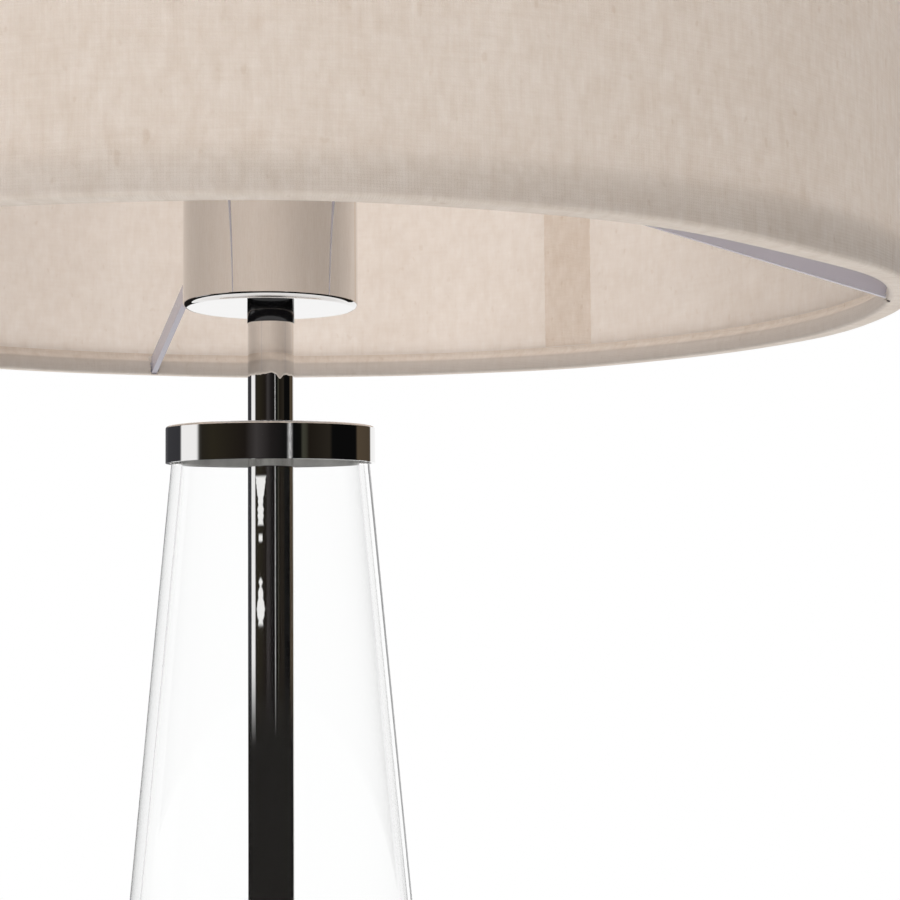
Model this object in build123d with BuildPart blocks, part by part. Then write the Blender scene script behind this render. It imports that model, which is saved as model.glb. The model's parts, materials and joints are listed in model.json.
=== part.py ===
from build123d import *
import os

# Candlestick table lamp: a chrome base, a clear glass cone clamped on a central rod, a chrome stem
# and lampholder cup, and a linen drum shade on a three-armed carrier.
# Origin at the centre of the underside, +Z up, -Y towards the viewer, all sizes in millimetres.

os.makedirs("parts", exist_ok=True)

# ---------------------------------------------------------------- clearances
slip = 0.10  # radial clearance of a piece threaded or pushed over another
glue_line = 0.05  # hairline between welded or glued pieces
run_gap = 0.25  # clearance between pieces that lift or turn apart

# ---------------------------------------------------------------- base
felt_thickness = 1.5
plate_thickness = 1.5
plate_margin = 0.3  # between the plate and the shell's wall
base_radius = 65.0
base_sheet = 1.5
base_height = 26.0  # top of the ridge round the glass
edge_height = 14.0  # top of the upright wall
ridge_width = 5.0
ridge_round = 0.8
seat_depth = 2.0  # of the recess that holds the glass
seat_margin = 1.5  # between the glass and the recess wall

weight_bore_radius = 30.0
weight_web = 3.5  # thickness of the web that the rod clamps
weight_margin = 2.5  # between the weight and the shell
cord_slot_width = 27.0
cord_slot_height = 10.0

plate_screw_count = 3
plate_screw_circle_radius = 45.0
plate_screw_radius = 2.0
plate_screw_head = 3.8
plate_screw_length = 9.0
plate_screw_start = 30.0  # azimuth in degrees of the first screw

inlet_radius = 3.5
inlet_floor_gap = 0.6  # between the grommet and the plate
grommet_neck_wall = 1.1
grommet_flange_width = 1.9
grommet_outer_flange = 1.4
grommet_inner_flange = 2.0

block_width = 22.0
block_depth = 14.0
block_height = 8.0
block_wall_gap = 13.5  # between the block and the shell's wall
block_distance = base_radius - base_sheet - block_wall_gap - block_depth  # of its near face
block_pole_spacing = 8.0
block_hole_radius = 1.5
block_screw_radius = 1.6
block_screw_rise = 0.8

# ---------------------------------------------------------------- glass and cap
foot_gasket_thickness = 1.2
foot_gasket_width = 4.5
glass_height = 244.0
glass_foot_radius = 47.7
glass_neck_radius = 25.0
glass_wall = 2.6
glass_edge_round = 0.8
cap_gasket_thickness = 1.5
cap_plate = 1.0
cap_radius = 27.15
cap_wall = 1.0
cap_height = 9.4
cap_round = 0.6

# ---------------------------------------------------------------- rod and stem
rod_radius = 5.0
rod_bore_radius = 3.5
rod_chamfer = 0.5
rod_tail = 0.8  # length past the base nut
rod_head = 1.5  # length past the floor of the lampholder
stem_radius = 6.0
stem_wall = 0.8
upper_stem_length = 31.0
nut_across_flats = 14.0
nut_thickness = 4.0
base_washer_radius = 11.0
base_washer_thickness = 1.2
cup_washer_radius = 9.0
cup_washer_thickness = 1.0

# ---------------------------------------------------------------- lampholder
cup_radius = 22.75
cup_wall = 0.8
cup_floor = 1.0
cup_height = 42.3
cup_round = 1.5
holder_radius = 19.5
holder_wall = 2.0
holder_floor = 3.0
holder_shell_height = 24.5
insert_thickness = 12.0
insert_ledge = 2.0
skirt_radius = 19.6
skirt_bore_radius = 14.6
skirt_rise = 19.0  # threaded length above the cup
support_ring_radius = 22.4
support_ring_thickness = 2.0
screw_shell_bore = 13.7
screw_shell_wall = 0.5
screw_shell_height = 22.0
contact_strip = 0.5
contact_width = 5.0
contact_rise = 3.0
contact_reach = 9.0
contact_screw_distance = 9.0
contact_screw_radius = 1.5
contact_screw_length = 6.0
contact_head_radius = 2.2
contact_head_height = 2.2

# ---------------------------------------------------------------- lead
lead_radius = 2.5
lead_floor_gap = 0.2
lead_block_gap = 6.0  # stripped length in front of the terminal block
lead_strip_below_insert = 8.0
core_radius = 0.8
core_spread = 1.3  # of each core from the lead's centre
core_bend_radius = 2.0

# ---------------------------------------------------------------- bulb
bulb_contact_radius = 4.0
bulb_contact_height = 1.0
bulb_insulator_height = 3.2
bulb_cap_radius = 13.2
bulb_cap_wall = 0.4
bulb_cap_height = 19.0
bulb_radius = 17.5
bulb_neck_radius = 12.4
bulb_length = 100.0
bulb_belly_height = 30.0  # of the widest place above the cap's rim
crown_fullness = 0.55  # share of a rounded crown's control lines, 0.55 being an ellipse
bulb_glass_wall = 0.8
bulb_glass_overlap = 3.0  # of the glass inside the cap
bulb_stem_radius = 1.6
bulb_stem_height = 46.0
flare_radius = 6.0
flare_height = 14.0
wire_radius = 0.4
filament_count = 4
filament_radius = 0.9
filament_circle_radius = 5.0
filament_length = 30.0

# ---------------------------------------------------------------- shade
shade_radius = 162.5
shade_height = 200.0
cover_thickness = 0.8
lining_thickness = 0.6
hem_thickness = 0.8
hem_turn_height = 7.5  # of the fabric turned in over the lining
ring_wire_radius = 1.5
wire_slack = 0.3  # between the ring wire and the hem round it
seam_width = 17.0
seam_thickness = 0.5
seam_azimuth = 58.0

fitter_bore_radius = 21.0
fitter_radius = 27.0
fitter_thickness = 2.0
arm_count = 3
arm_azimuth = -9.5  # of the first arm, counter-clockwise from +X
arm_thickness = 1.8
arm_depth = 5.8
arm_drop = 45.2  # from an arm's inner end down to its outer end
arm_below_fitter = 1.7  # of the lower edge at the inner end
arm_above_rim = 0.3
arm_slot_gap = 0.3

retaining_radius = 26.0
retaining_height = 8.0
grip_count = 24
grip_radius = 2.0
grip_depth = 0.7

# ---------------------------------------------------------------- heights that follow from the stack
plate_top = felt_thickness + plate_thickness
seat_z = base_height - seat_depth
shell_ceiling = seat_z - base_sheet
glass_foot_z = seat_z + foot_gasket_thickness
glass_top_z = glass_foot_z + glass_height
cap_ceiling = glass_top_z + cap_gasket_thickness
cap_top = cap_ceiling + cap_plate
cup_bottom = cap_top + upper_stem_length
cup_top = cup_bottom + cup_height
holder_bottom = cup_bottom + cup_floor + cup_washer_thickness + nut_thickness
holder_floor_top = holder_bottom + holder_floor
holder_shell_top = holder_bottom + holder_shell_height
insert_bottom = holder_shell_top - insert_thickness + insert_ledge
insert_top = insert_bottom + insert_thickness
skirt_top = cup_top + skirt_rise
support_ring_top = cup_top + support_ring_thickness
fitter_bottom = support_ring_top + run_gap
fitter_top = fitter_bottom + fitter_thickness
rim_z = fitter_bottom - arm_below_fitter - arm_drop - arm_above_rim
shade_top = rim_z + shade_height
contact_top = insert_top + contact_rise + contact_strip
bulb_bottom = contact_top + run_gap
insulator_bottom = bulb_bottom + bulb_contact_height
bulb_cap_bottom = insulator_bottom + bulb_insulator_height
bulb_cap_top = bulb_cap_bottom + bulb_cap_height
bulb_tip = bulb_bottom + bulb_length
bulb_glass_z = bulb_cap_top - bulb_glass_overlap

grommet_flange_radius = inlet_radius + grommet_flange_width
inlet_height = plate_top + inlet_floor_gap + grommet_flange_radius

rod_hole_radius = rod_radius + slip
web_bottom = shell_ceiling - weight_web
base_nut_top = web_bottom - base_washer_thickness
rod_bottom = base_nut_top - nut_thickness - rod_tail
rod_top = holder_floor_top + rod_head

# ---------------------------------------------------------------- base: felt, plate and screws
plate_radius = base_radius - base_sheet - plate_margin

with BuildPart() as felt_pad:
    Cylinder(plate_radius, felt_thickness, align=(Align.CENTER, Align.CENTER, Align.MIN))

felt_pad.part.label = "felt_pad"
export_step(felt_pad.part, "parts/felt_pad.step")

screw_places = PolarLocations(plate_screw_circle_radius, plate_screw_count, start_angle=plate_screw_start)

with BuildPart() as base_plate:
    with BuildSketch(Plane.XY.offset(felt_thickness)):
        Circle(plate_radius)
        with screw_places:
            Circle(plate_screw_head + slip, mode=Mode.SUBTRACT)
    extrude(amount=plate_thickness)

base_plate.part.label = "base_plate"
export_step(base_plate.part, "parts/base_plate.step")

with BuildPart() as base_plate_screws:
    with BuildSketch(Plane.XY.offset(felt_thickness)):
        with screw_places:
            Circle(plate_screw_head)
    extrude(amount=plate_thickness)
    with BuildSketch(Plane.XY.offset(plate_top)):
        with screw_places:
            Circle(plate_screw_radius)
    extrude(amount=plate_screw_length)

base_plate_screws.part.label = "base_plate_screws"
export_step(base_plate_screws.part, "parts/base_plate_screws.step")

# ---------------------------------------------------------------- base: spun shell
seat_radius = glass_foot_radius + seat_margin
ridge_radius = seat_radius + ridge_width
inlet_axis = Plane(origin=(0, 0, inlet_height), x_dir=(1, 0, 0), z_dir=(0, 1, 0))
grommet_neck_radius = inlet_radius + grommet_neck_wall

with BuildPart() as base_shell:
    with BuildSketch(Plane.XZ):
        with BuildLine():
            wall = Line((base_radius, felt_thickness), (base_radius, edge_height))
            dome = TangentArc(wall @ 1, (ridge_radius, base_height), tangent=(0, 1))
            Polyline(dome @ 1, (seat_radius, base_height), (seat_radius, seat_z), (rod_hole_radius, seat_z))
            Polyline(
                (rod_hole_radius, seat_z),
                (rod_hole_radius, shell_ceiling),
                (seat_radius + base_sheet, shell_ceiling),
                (seat_radius + base_sheet, base_height - base_sheet),
                (ridge_radius, base_height - base_sheet),
            )
            TangentArc(
                (base_radius - base_sheet, edge_height),
                (ridge_radius, base_height - base_sheet),
                tangent=(0, 1),
            )
            Polyline(
                (base_radius - base_sheet, edge_height),
                (base_radius - base_sheet, felt_thickness),
                (base_radius, felt_thickness),
            )
        make_face()
    revolve(axis=Axis.Z)
    ridge_edges = (
        base_shell.edges()
        .filter_by(GeomType.CIRCLE)
        .filter_by_position(Axis.Z, base_height - glue_line, base_height + glue_line)
    )
    fillet(ridge_edges.sort_by(SortBy.RADIUS)[0], ridge_round)
    with BuildSketch(inlet_axis):
        Circle(grommet_neck_radius + slip)
    extrude(amount=base_radius + base_sheet, mode=Mode.SUBTRACT)

base_shell.part.label = "base_shell"
export_step(base_shell.part, "parts/base_shell.step")

# ---------------------------------------------------------------- base: cast weight
with BuildPart() as base_weight:
    with BuildSketch(Plane.XZ):
        with BuildLine():
            Polyline(
                (rod_hole_radius, web_bottom),
                (rod_hole_radius, shell_ceiling),
                (seat_radius - weight_margin, shell_ceiling),
                (base_radius - base_sheet - weight_margin, edge_height),
                (base_radius - base_sheet - weight_margin, plate_top),
                (weight_bore_radius, plate_top),
                (weight_bore_radius, web_bottom),
                close=True,
            )
        make_face()
    revolve(axis=Axis.Z)
    with BuildSketch(Plane.XY.offset(plate_top)):
        with screw_places:
            Circle(plate_screw_radius + slip)
    extrude(amount=plate_screw_length + run_gap, mode=Mode.SUBTRACT)
    with BuildSketch(Plane.XY.offset(plate_top)):
        Rectangle(cord_slot_width, base_radius, align=(Align.CENTER, Align.MIN))
    extrude(amount=cord_slot_height, mode=Mode.SUBTRACT)

base_weight.part.label = "base_weight"
export_step(base_weight.part, "parts/base_weight.step")

# ---------------------------------------------------------------- base: cord inlet
shell_wall_inside = base_radius - base_sheet
inlet_inner_face = shell_wall_inside - run_gap
inlet_outer_face = base_radius + glue_line

with BuildPart() as cord_grommet:
    with BuildSketch(inlet_axis.offset(inlet_inner_face - grommet_inner_flange)):
        Circle(grommet_flange_radius)
    extrude(amount=grommet_inner_flange)
    with BuildSketch(inlet_axis.offset(inlet_inner_face)):
        Circle(grommet_neck_radius)
    extrude(amount=inlet_outer_face - inlet_inner_face)
    with BuildSketch(inlet_axis.offset(inlet_outer_face)):
        Circle(grommet_flange_radius)
    extrude(amount=grommet_outer_flange)
    with BuildSketch(inlet_axis.offset(inlet_inner_face - grommet_inner_flange)):
        Circle(inlet_radius)
    extrude(amount=base_radius, mode=Mode.SUBTRACT)
    # the inner flange is cut to the round wall that it lies against
    with BuildSketch(Plane.XY):
        Circle(base_radius + base_sheet)
        Circle(inlet_inner_face, mode=Mode.SUBTRACT)
        Rectangle(2 * grommet_neck_radius, 2 * base_radius + 2 * base_sheet, mode=Mode.SUBTRACT)
    extrude(amount=edge_height, mode=Mode.SUBTRACT)

cord_grommet.part.label = "cord_grommet"
export_step(cord_grommet.part, "parts/cord_grommet.step")
print("cord inlet: radius", inlet_radius, "from y", inlet_inner_face - grommet_inner_flange)
print("cord inlet: to y", inlet_outer_face + grommet_outer_flange, "axis height", inlet_height)

# ---------------------------------------------------------------- base: terminal block
lead_z = plate_top + lead_radius + lead_floor_gap
pole_places = [Location((side * block_pole_spacing / 2, 0)) for side in (-1, 1)]
block_middle = block_distance + block_depth / 2

with BuildPart() as terminal_block:
    with BuildSketch(Plane.XY.offset(plate_top)):
        with Locations((0, block_middle)):
            Rectangle(block_width, block_depth)
    extrude(amount=block_height)
    fillet(terminal_block.edges().filter_by(Axis.Z), block_screw_rise)
    with BuildSketch(Plane(origin=(0, 0, lead_z), x_dir=(1, 0, 0), z_dir=(0, 1, 0))):
        with Locations(pole_places):
            Circle(block_hole_radius)
    extrude(amount=base_radius, mode=Mode.SUBTRACT)

terminal_block.part.label = "terminal_block"
export_step(terminal_block.part, "parts/terminal_block.step")

with BuildPart() as terminal_block_screws:
    with BuildSketch(Plane.XY.offset(plate_top + block_height)):
        with Locations((0, block_middle)):
            with Locations(pole_places):
                Circle(block_screw_radius)
    extrude(amount=block_screw_rise)

terminal_block_screws.part.label = "terminal_block_screws"
export_step(terminal_block_screws.part, "parts/terminal_block_screws.step")

# ---------------------------------------------------------------- glass body and its gaskets
glass_inner_foot = glass_foot_radius - glass_wall
glass_inner_neck = glass_neck_radius - glass_wall

with BuildPart() as foot_gasket:
    with BuildSketch(Plane.XY.offset(seat_z)):
        Circle(glass_foot_radius + slip)
        Circle(glass_foot_radius + slip - foot_gasket_width, mode=Mode.SUBTRACT)
    extrude(amount=foot_gasket_thickness)

foot_gasket.part.label = "foot_gasket"
export_step(foot_gasket.part, "parts/foot_gasket.step")

with BuildPart() as glass_body:
    with BuildSketch(Plane.XZ):
        with BuildLine():
            Polyline(
                (glass_inner_foot, glass_foot_z),
                (glass_foot_radius, glass_foot_z),
                (glass_neck_radius, glass_top_z),
                (glass_inner_neck, glass_top_z),
                close=True,
            )
        make_face()
    revolve(axis=Axis.Z)
    fillet(glass_body.edges().filter_by(GeomType.CIRCLE), glass_edge_round)

glass_body.part.label = "glass_body"
export_step(glass_body.part, "parts/glass_body.step")

with BuildPart() as cap_gasket:
    with BuildSketch(Plane.XY.offset(glass_top_z)):
        Circle(glass_neck_radius)
        Circle(glass_inner_neck, mode=Mode.SUBTRACT)
    extrude(amount=cap_gasket_thickness)

cap_gasket.part.label = "cap_gasket"
export_step(cap_gasket.part, "parts/cap_gasket.step")

with BuildPart() as glass_cap:
    with BuildSketch(Plane.XZ):
        with BuildLine():
            Polyline(
                (rod_hole_radius, cap_ceiling),
                (rod_hole_radius, cap_top),
                (cap_radius, cap_top),
                (cap_radius, cap_top - cap_height),
                (cap_radius - cap_wall, cap_top - cap_height),
                (cap_radius - cap_wall, cap_ceiling),
                close=True,
            )
        make_face()
    revolve(axis=Axis.Z)
    cap_rims = glass_cap.edges().filter_by(GeomType.CIRCLE).sort_by(SortBy.RADIUS)[-2:]
    fillet(cap_rims.sort_by(Axis.Z)[-1], cap_round)

glass_cap.part.label = "glass_cap"
export_step(glass_cap.part, "parts/glass_cap.step")

# ---------------------------------------------------------------- rod, cover tubes, nuts and washers
with BuildPart() as tie_rod:
    with BuildSketch(Plane.XY.offset(rod_bottom)):
        Circle(rod_radius)
        Circle(rod_bore_radius, mode=Mode.SUBTRACT)
    extrude(amount=rod_top - rod_bottom)
    chamfer(tie_rod.edges().filter_by(GeomType.CIRCLE).group_by(SortBy.RADIUS)[-1], rod_chamfer)

tie_rod.part.label = "tie_rod"
export_step(tie_rod.part, "parts/tie_rod.step")

with BuildPart() as lower_stem_tube:
    with BuildSketch(Plane.XY.offset(seat_z)):
        Circle(stem_radius)
        Circle(stem_radius - stem_wall, mode=Mode.SUBTRACT)
    extrude(amount=cap_ceiling - seat_z)

lower_stem_tube.part.label = "lower_stem_tube"
export_step(lower_stem_tube.part, "parts/lower_stem_tube.step")

with BuildPart() as upper_stem_tube:
    with BuildSketch(Plane.XY.offset(cap_top)):
        Circle(stem_radius)
        Circle(stem_radius - stem_wall, mode=Mode.SUBTRACT)
    extrude(amount=upper_stem_length)

upper_stem_tube.part.label = "upper_stem_tube"
export_step(upper_stem_tube.part, "parts/upper_stem_tube.step")

with BuildPart() as base_washer:
    with BuildSketch(Plane.XY.offset(base_nut_top)):
        Circle(base_washer_radius)
        Circle(rod_hole_radius, mode=Mode.SUBTRACT)
    extrude(amount=base_washer_thickness)

base_washer.part.label = "base_washer"
export_step(base_washer.part, "parts/base_washer.step")

with BuildPart() as base_nut:
    with BuildSketch(Plane.XY.offset(base_nut_top - nut_thickness)):
        RegularPolygon(nut_across_flats / 2, 6, major_radius=False)
        Circle(rod_hole_radius, mode=Mode.SUBTRACT)
    extrude(amount=nut_thickness)

base_nut.part.label = "base_nut"
export_step(base_nut.part, "parts/base_nut.step")

cup_floor_top = cup_bottom + cup_floor

with BuildPart() as cup_washer:
    with BuildSketch(Plane.XY.offset(cup_floor_top)):
        Circle(cup_washer_radius)
        Circle(rod_hole_radius, mode=Mode.SUBTRACT)
    extrude(amount=cup_washer_thickness)

cup_washer.part.label = "cup_washer"
export_step(cup_washer.part, "parts/cup_washer.step")

with BuildPart() as cup_nut:
    with BuildSketch(Plane.XY.offset(cup_floor_top + cup_washer_thickness)):
        RegularPolygon(nut_across_flats / 2, 6, major_radius=False)
        Circle(rod_hole_radius, mode=Mode.SUBTRACT)
    extrude(amount=nut_thickness)

cup_nut.part.label = "cup_nut"
export_step(cup_nut.part, "parts/cup_nut.step")

# ---------------------------------------------------------------- lampholder
with BuildPart() as holder_cup:
    with BuildSketch(Plane.XZ):
        with BuildLine():
            Polyline(
                (rod_hole_radius, cup_bottom),
                (cup_radius, cup_bottom),
                (cup_radius, cup_top),
                (cup_radius - cup_wall, cup_top),
                (cup_radius - cup_wall, cup_floor_top),
                (rod_hole_radius, cup_floor_top),
                close=True,
            )
        make_face()
    revolve(axis=Axis.Z)
    cup_rounds = holder_cup.edges().filter_by(GeomType.CIRCLE).group_by(Axis.Z)[0].sort_by(SortBy.RADIUS)
    fillet(cup_rounds[-1], cup_round)

holder_cup.part.label = "holder_cup"
export_step(holder_cup.part, "parts/holder_cup.step")

insert_radius = holder_radius - holder_wall - slip

with BuildPart() as holder_shell:
    with BuildSketch(Plane.XZ):
        with BuildLine():
            Polyline(
                (rod_hole_radius, holder_bottom),
                (holder_radius, holder_bottom),
                (holder_radius, holder_shell_top),
                (holder_radius - holder_wall, holder_shell_top),
                (holder_radius - holder_wall, insert_bottom),
                (holder_radius - holder_wall - insert_ledge, insert_bottom),
                (holder_radius - holder_wall - insert_ledge, holder_floor_top),
                (rod_hole_radius, holder_floor_top),
                close=True,
            )
        make_face()
    revolve(axis=Axis.Z)

holder_shell.part.label = "holder_shell"
export_step(holder_shell.part, "parts/holder_shell.step")

contact_screw_places = [Location((side * contact_screw_distance, 0)) for side in (-1, 1)]

with BuildPart() as holder_insert:
    with BuildSketch(Plane.XY.offset(insert_bottom)):
        Circle(insert_radius)
        with Locations(contact_screw_places):
            Circle(contact_screw_radius + slip, mode=Mode.SUBTRACT)
    extrude(amount=insert_thickness)

holder_insert.part.label = "holder_insert"
export_step(holder_insert.part, "parts/holder_insert.step")

with BuildPart() as contact_screws:
    with BuildSketch(Plane.XY.offset(insert_bottom)):
        with Locations(contact_screw_places):
            Circle(contact_head_radius)
    extrude(amount=-contact_head_height)
    with BuildSketch(Plane.XY.offset(insert_bottom)):
        with Locations(contact_screw_places):
            Circle(contact_screw_radius)
    extrude(amount=contact_screw_length)

contact_screws.part.label = "contact_screws"
export_step(contact_screws.part, "parts/contact_screws.step")

with BuildPart() as holder_skirt:
    with BuildSketch(Plane.XZ):
        with BuildLine():
            Polyline(
                (skirt_radius, holder_shell_top),
                (skirt_radius, skirt_top),
                (skirt_bore_radius, skirt_top),
                (skirt_bore_radius, insert_top + slip),
                (holder_radius - holder_wall, insert_top + slip),
                (holder_radius - holder_wall, holder_shell_top),
                close=True,
            )
        make_face()
    revolve(axis=Axis.Z)

holder_skirt.part.label = "holder_skirt"
export_step(holder_skirt.part, "parts/holder_skirt.step")

with BuildPart() as support_ring:
    with BuildSketch(Plane.XY.offset(cup_top)):
        Circle(support_ring_radius)
        Circle(skirt_radius + slip, mode=Mode.SUBTRACT)
    extrude(amount=support_ring_thickness)

support_ring.part.label = "support_ring"
export_step(support_ring.part, "parts/support_ring.step")

with BuildPart() as screw_shell:
    with BuildSketch(Plane.XY.offset(insert_top)):
        Circle(screw_shell_bore + screw_shell_wall)
        Circle(screw_shell_bore, mode=Mode.SUBTRACT)
    extrude(amount=screw_shell_height)

screw_shell.part.label = "screw_shell"
export_step(screw_shell.part, "parts/screw_shell.step")

with BuildPart() as centre_contact:
    with BuildSketch(Plane.XZ.offset(-contact_width / 2)):
        with BuildLine():
            Polyline(
                (-contact_reach, insert_top),
                (-contact_reach / 2, insert_top),
                (-contact_width / 2, insert_top + contact_rise),
                (contact_width / 2, insert_top + contact_rise),
                (contact_width / 2, contact_top),
                (-contact_width / 2 - contact_strip, contact_top),
                (-contact_reach / 2 - contact_strip, insert_top + contact_strip),
                (-contact_reach, insert_top + contact_strip),
                close=True,
            )
        make_face()
    extrude(amount=contact_width)

centre_contact.part.label = "centre_contact"
export_step(centre_contact.part, "parts/centre_contact.step")

# ---------------------------------------------------------------- sheathed lead through the rod
lead_bend_radius = rod_bottom - lead_z
lead_start = block_distance - lead_block_gap
lead_top = insert_bottom - lead_strip_below_insert

with BuildPart() as inner_lead:
    with BuildLine() as lead_route:
        run_in = Line((0, lead_start, lead_z), (0, lead_bend_radius, lead_z))
        bend = TangentArc(run_in @ 1, (0, 0, rod_bottom), tangent=(0, -1, 0))
        Line(bend @ 1, (0, 0, lead_top))
    with BuildSketch(Plane(origin=run_in @ 0, z_dir=run_in % 0)):
        Circle(lead_radius)
    sweep(path=lead_route.wires()[0])

inner_lead.part.label = "inner_lead"
export_step(inner_lead.part, "parts/inner_lead.step")
print("inner lead: bend radius", round(lead_bend_radius, 2))

with BuildPart() as lead_cores_lower:
    for side in (-1, 1):
        pole = side * block_pole_spacing / 2
        with BuildLine() as core_route:
            FilletPolyline(
                (side * core_spread, lead_start, lead_z),
                (side * core_spread, lead_start + core_bend_radius / 2, lead_z),
                (pole, block_distance - core_bend_radius / 2, lead_z),
                (pole, block_distance + core_bend_radius, lead_z),
                radius=core_bend_radius / 2,
            )
        with BuildSketch(Plane(origin=core_route.line @ 0, z_dir=core_route.line % 0)):
            Circle(core_radius)
        sweep(path=core_route.wires()[0])

lead_cores_lower.part.label = "lead_cores_lower"
export_step(lead_cores_lower.part, "parts/lead_cores_lower.step")

screw_head_middle = insert_bottom - contact_head_height / 2

with BuildPart() as lead_cores_upper:
    for side in (-1, 1):
        with BuildLine() as core_route:
            FilletPolyline(
                (side * core_spread, 0, lead_top),
                (side * core_spread, 0, lead_top + core_bend_radius),
                (side * (core_spread + core_bend_radius), 0, screw_head_middle),
                (side * (contact_screw_distance - contact_head_radius), 0, screw_head_middle),
                radius=core_bend_radius / 2,
            )
        with BuildSketch(Plane(origin=core_route.line @ 0, z_dir=core_route.line % 0)):
            Circle(core_radius)
        sweep(path=core_route.wires()[0])

lead_cores_upper.part.label = "lead_cores_upper"
export_step(lead_cores_upper.part, "parts/lead_cores_upper.step")

# ---------------------------------------------------------------- bulb
with BuildPart() as bulb_contact:
    with BuildSketch(Plane.XY.offset(bulb_bottom)):
        Circle(bulb_contact_radius)
    extrude(amount=bulb_contact_height)

bulb_contact.part.label = "bulb_contact"
export_step(bulb_contact.part, "parts/bulb_contact.step")

with BuildPart() as bulb_insulator:
    with BuildSketch(Plane.XY.offset(insulator_bottom)):
        Circle(bulb_contact_radius + bulb_contact_height)
    with BuildSketch(Plane.XY.offset(bulb_cap_bottom)):
        Circle(bulb_cap_radius - bulb_insulator_height)
    loft()

bulb_insulator.part.label = "bulb_insulator"
export_step(bulb_insulator.part, "parts/bulb_insulator.step")

with BuildPart() as bulb_cap:
    with BuildSketch(Plane.XY.offset(bulb_cap_bottom)):
        Circle(bulb_cap_radius)
    extrude(amount=bulb_cap_height)
    with BuildSketch(Plane.XY.offset(bulb_cap_bottom + bulb_cap_wall)):
        Circle(bulb_cap_radius - bulb_cap_wall)
    extrude(amount=bulb_cap_height, mode=Mode.SUBTRACT)

bulb_cap.part.label = "bulb_cap"
export_step(bulb_cap.part, "parts/bulb_cap.step")


def candle_outline(inset):
    """Half outline of the candle-shaped glass, drawn inset millimetres inside its outer face."""
    with BuildSketch(Plane.XZ) as outline:
        with BuildLine():
            radius = bulb_radius - inset
            tip_z = bulb_tip - inset
            belly_z = bulb_cap_top + bulb_belly_height
            shoulder_z = belly_z + crown_fullness * (tip_z - belly_z)
            foot = (bulb_neck_radius - inset, bulb_glass_z)
            flank = Spline(foot, (radius, belly_z), tangents=[(0, 1), (0, 1)])
            Bezier(flank @ 1, (radius, shoulder_z), (crown_fullness * radius, tip_z), (0, tip_z))
            Polyline((0, tip_z), (0, bulb_glass_z), foot)
        make_face()
    return outline.sketch


with BuildPart() as bulb_glass:
    add(candle_outline(0))
    revolve(axis=Axis.Z)
    add(candle_outline(bulb_glass_wall))
    revolve(axis=Axis.Z, mode=Mode.SUBTRACT)

bulb_glass.part.label = "bulb_glass"
export_step(bulb_glass.part, "parts/bulb_glass.step")

stem_foot = bulb_glass_z + bulb_glass_overlap
stem_tip = stem_foot + bulb_stem_height
flare_reach = bulb_neck_radius - bulb_glass_wall - glue_line

with BuildPart() as bulb_stem:
    with BuildSketch(Plane.XZ):
        with BuildLine():
            Polyline(
                (0, stem_foot - bulb_glass_overlap),
                (flare_reach, stem_foot - bulb_glass_overlap),
                (flare_radius, stem_foot),
                (bulb_stem_radius, stem_foot + flare_height),
                (bulb_stem_radius, stem_tip),
                (0, stem_tip),
                close=True,
            )
        make_face()
    revolve(axis=Axis.Z)

bulb_stem.part.label = "bulb_stem"
export_step(bulb_stem.part, "parts/bulb_stem.step")

filament_top = stem_tip
filament_bottom = stem_tip - filament_length
spoke_reach = filament_circle_radius + filament_radius

with BuildPart() as bulb_frame:
    with BuildSketch(Plane.XY.offset(filament_top)):
        with PolarLocations(0, filament_count):
            Rectangle(spoke_reach, 2 * wire_radius, align=(Align.MIN, Align.CENTER))
        Circle(bulb_stem_radius)
    extrude(amount=2 * wire_radius)
    with BuildSketch(Plane.XY.offset(filament_bottom)):
        with PolarLocations(0, filament_count):
            Rectangle(spoke_reach, 2 * wire_radius, align=(Align.MIN, Align.CENTER))
        Circle(bulb_stem_radius + 2 * wire_radius)
        Circle(bulb_stem_radius + glue_line, mode=Mode.SUBTRACT)
    extrude(amount=-2 * wire_radius)

bulb_frame.part.label = "bulb_frame"
export_step(bulb_frame.part, "parts/bulb_frame.step")

with BuildPart() as bulb_filaments:
    with BuildSketch(Plane.XY.offset(filament_bottom)):
        with PolarLocations(filament_circle_radius, filament_count):
            Circle(filament_radius)
    extrude(amount=filament_length)

bulb_filaments.part.label = "bulb_filaments"
export_step(bulb_filaments.part, "parts/bulb_filaments.step")

# ---------------------------------------------------------------- shade carrier
with BuildPart() as fitter_ring:
    with BuildSketch(Plane.XY.offset(fitter_bottom)):
        Circle(fitter_radius)
        Circle(fitter_bore_radius, mode=Mode.SUBTRACT)
    extrude(amount=fitter_thickness)

fitter_ring.part.label = "fitter_ring"
export_step(fitter_ring.part, "parts/fitter_ring.step")

hem_radius = ring_wire_radius + wire_slack + hem_thickness
wire_circle = shade_radius - hem_radius
arm_inner_radius = fitter_radius + glue_line
arm_outer_radius = wire_circle - ring_wire_radius - glue_line
arm_low_inner = fitter_bottom - arm_below_fitter
arm_low_outer = arm_low_inner - arm_drop
arm_angles = [arm_azimuth + index * 360 / arm_count for index in range(arm_count)]

for index, angle in enumerate(arm_angles, start=1):
    arm_plane = Plane.XZ.rotated((0, 0, angle)).offset(-arm_thickness / 2)
    with BuildPart() as spider_arm:
        with BuildSketch(arm_plane):
            with BuildLine():
                Polyline(
                    (arm_inner_radius, arm_low_inner),
                    (arm_outer_radius, arm_low_outer),
                    (arm_outer_radius, arm_low_outer + arm_depth),
                    (arm_inner_radius, arm_low_inner + arm_depth),
                    close=True,
                )
            make_face()
        extrude(amount=arm_thickness)
    spider_arm.part.label = f"spider_arm_{index}"
    export_step(spider_arm.part, f"parts/spider_arm_{index}.step")

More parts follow.
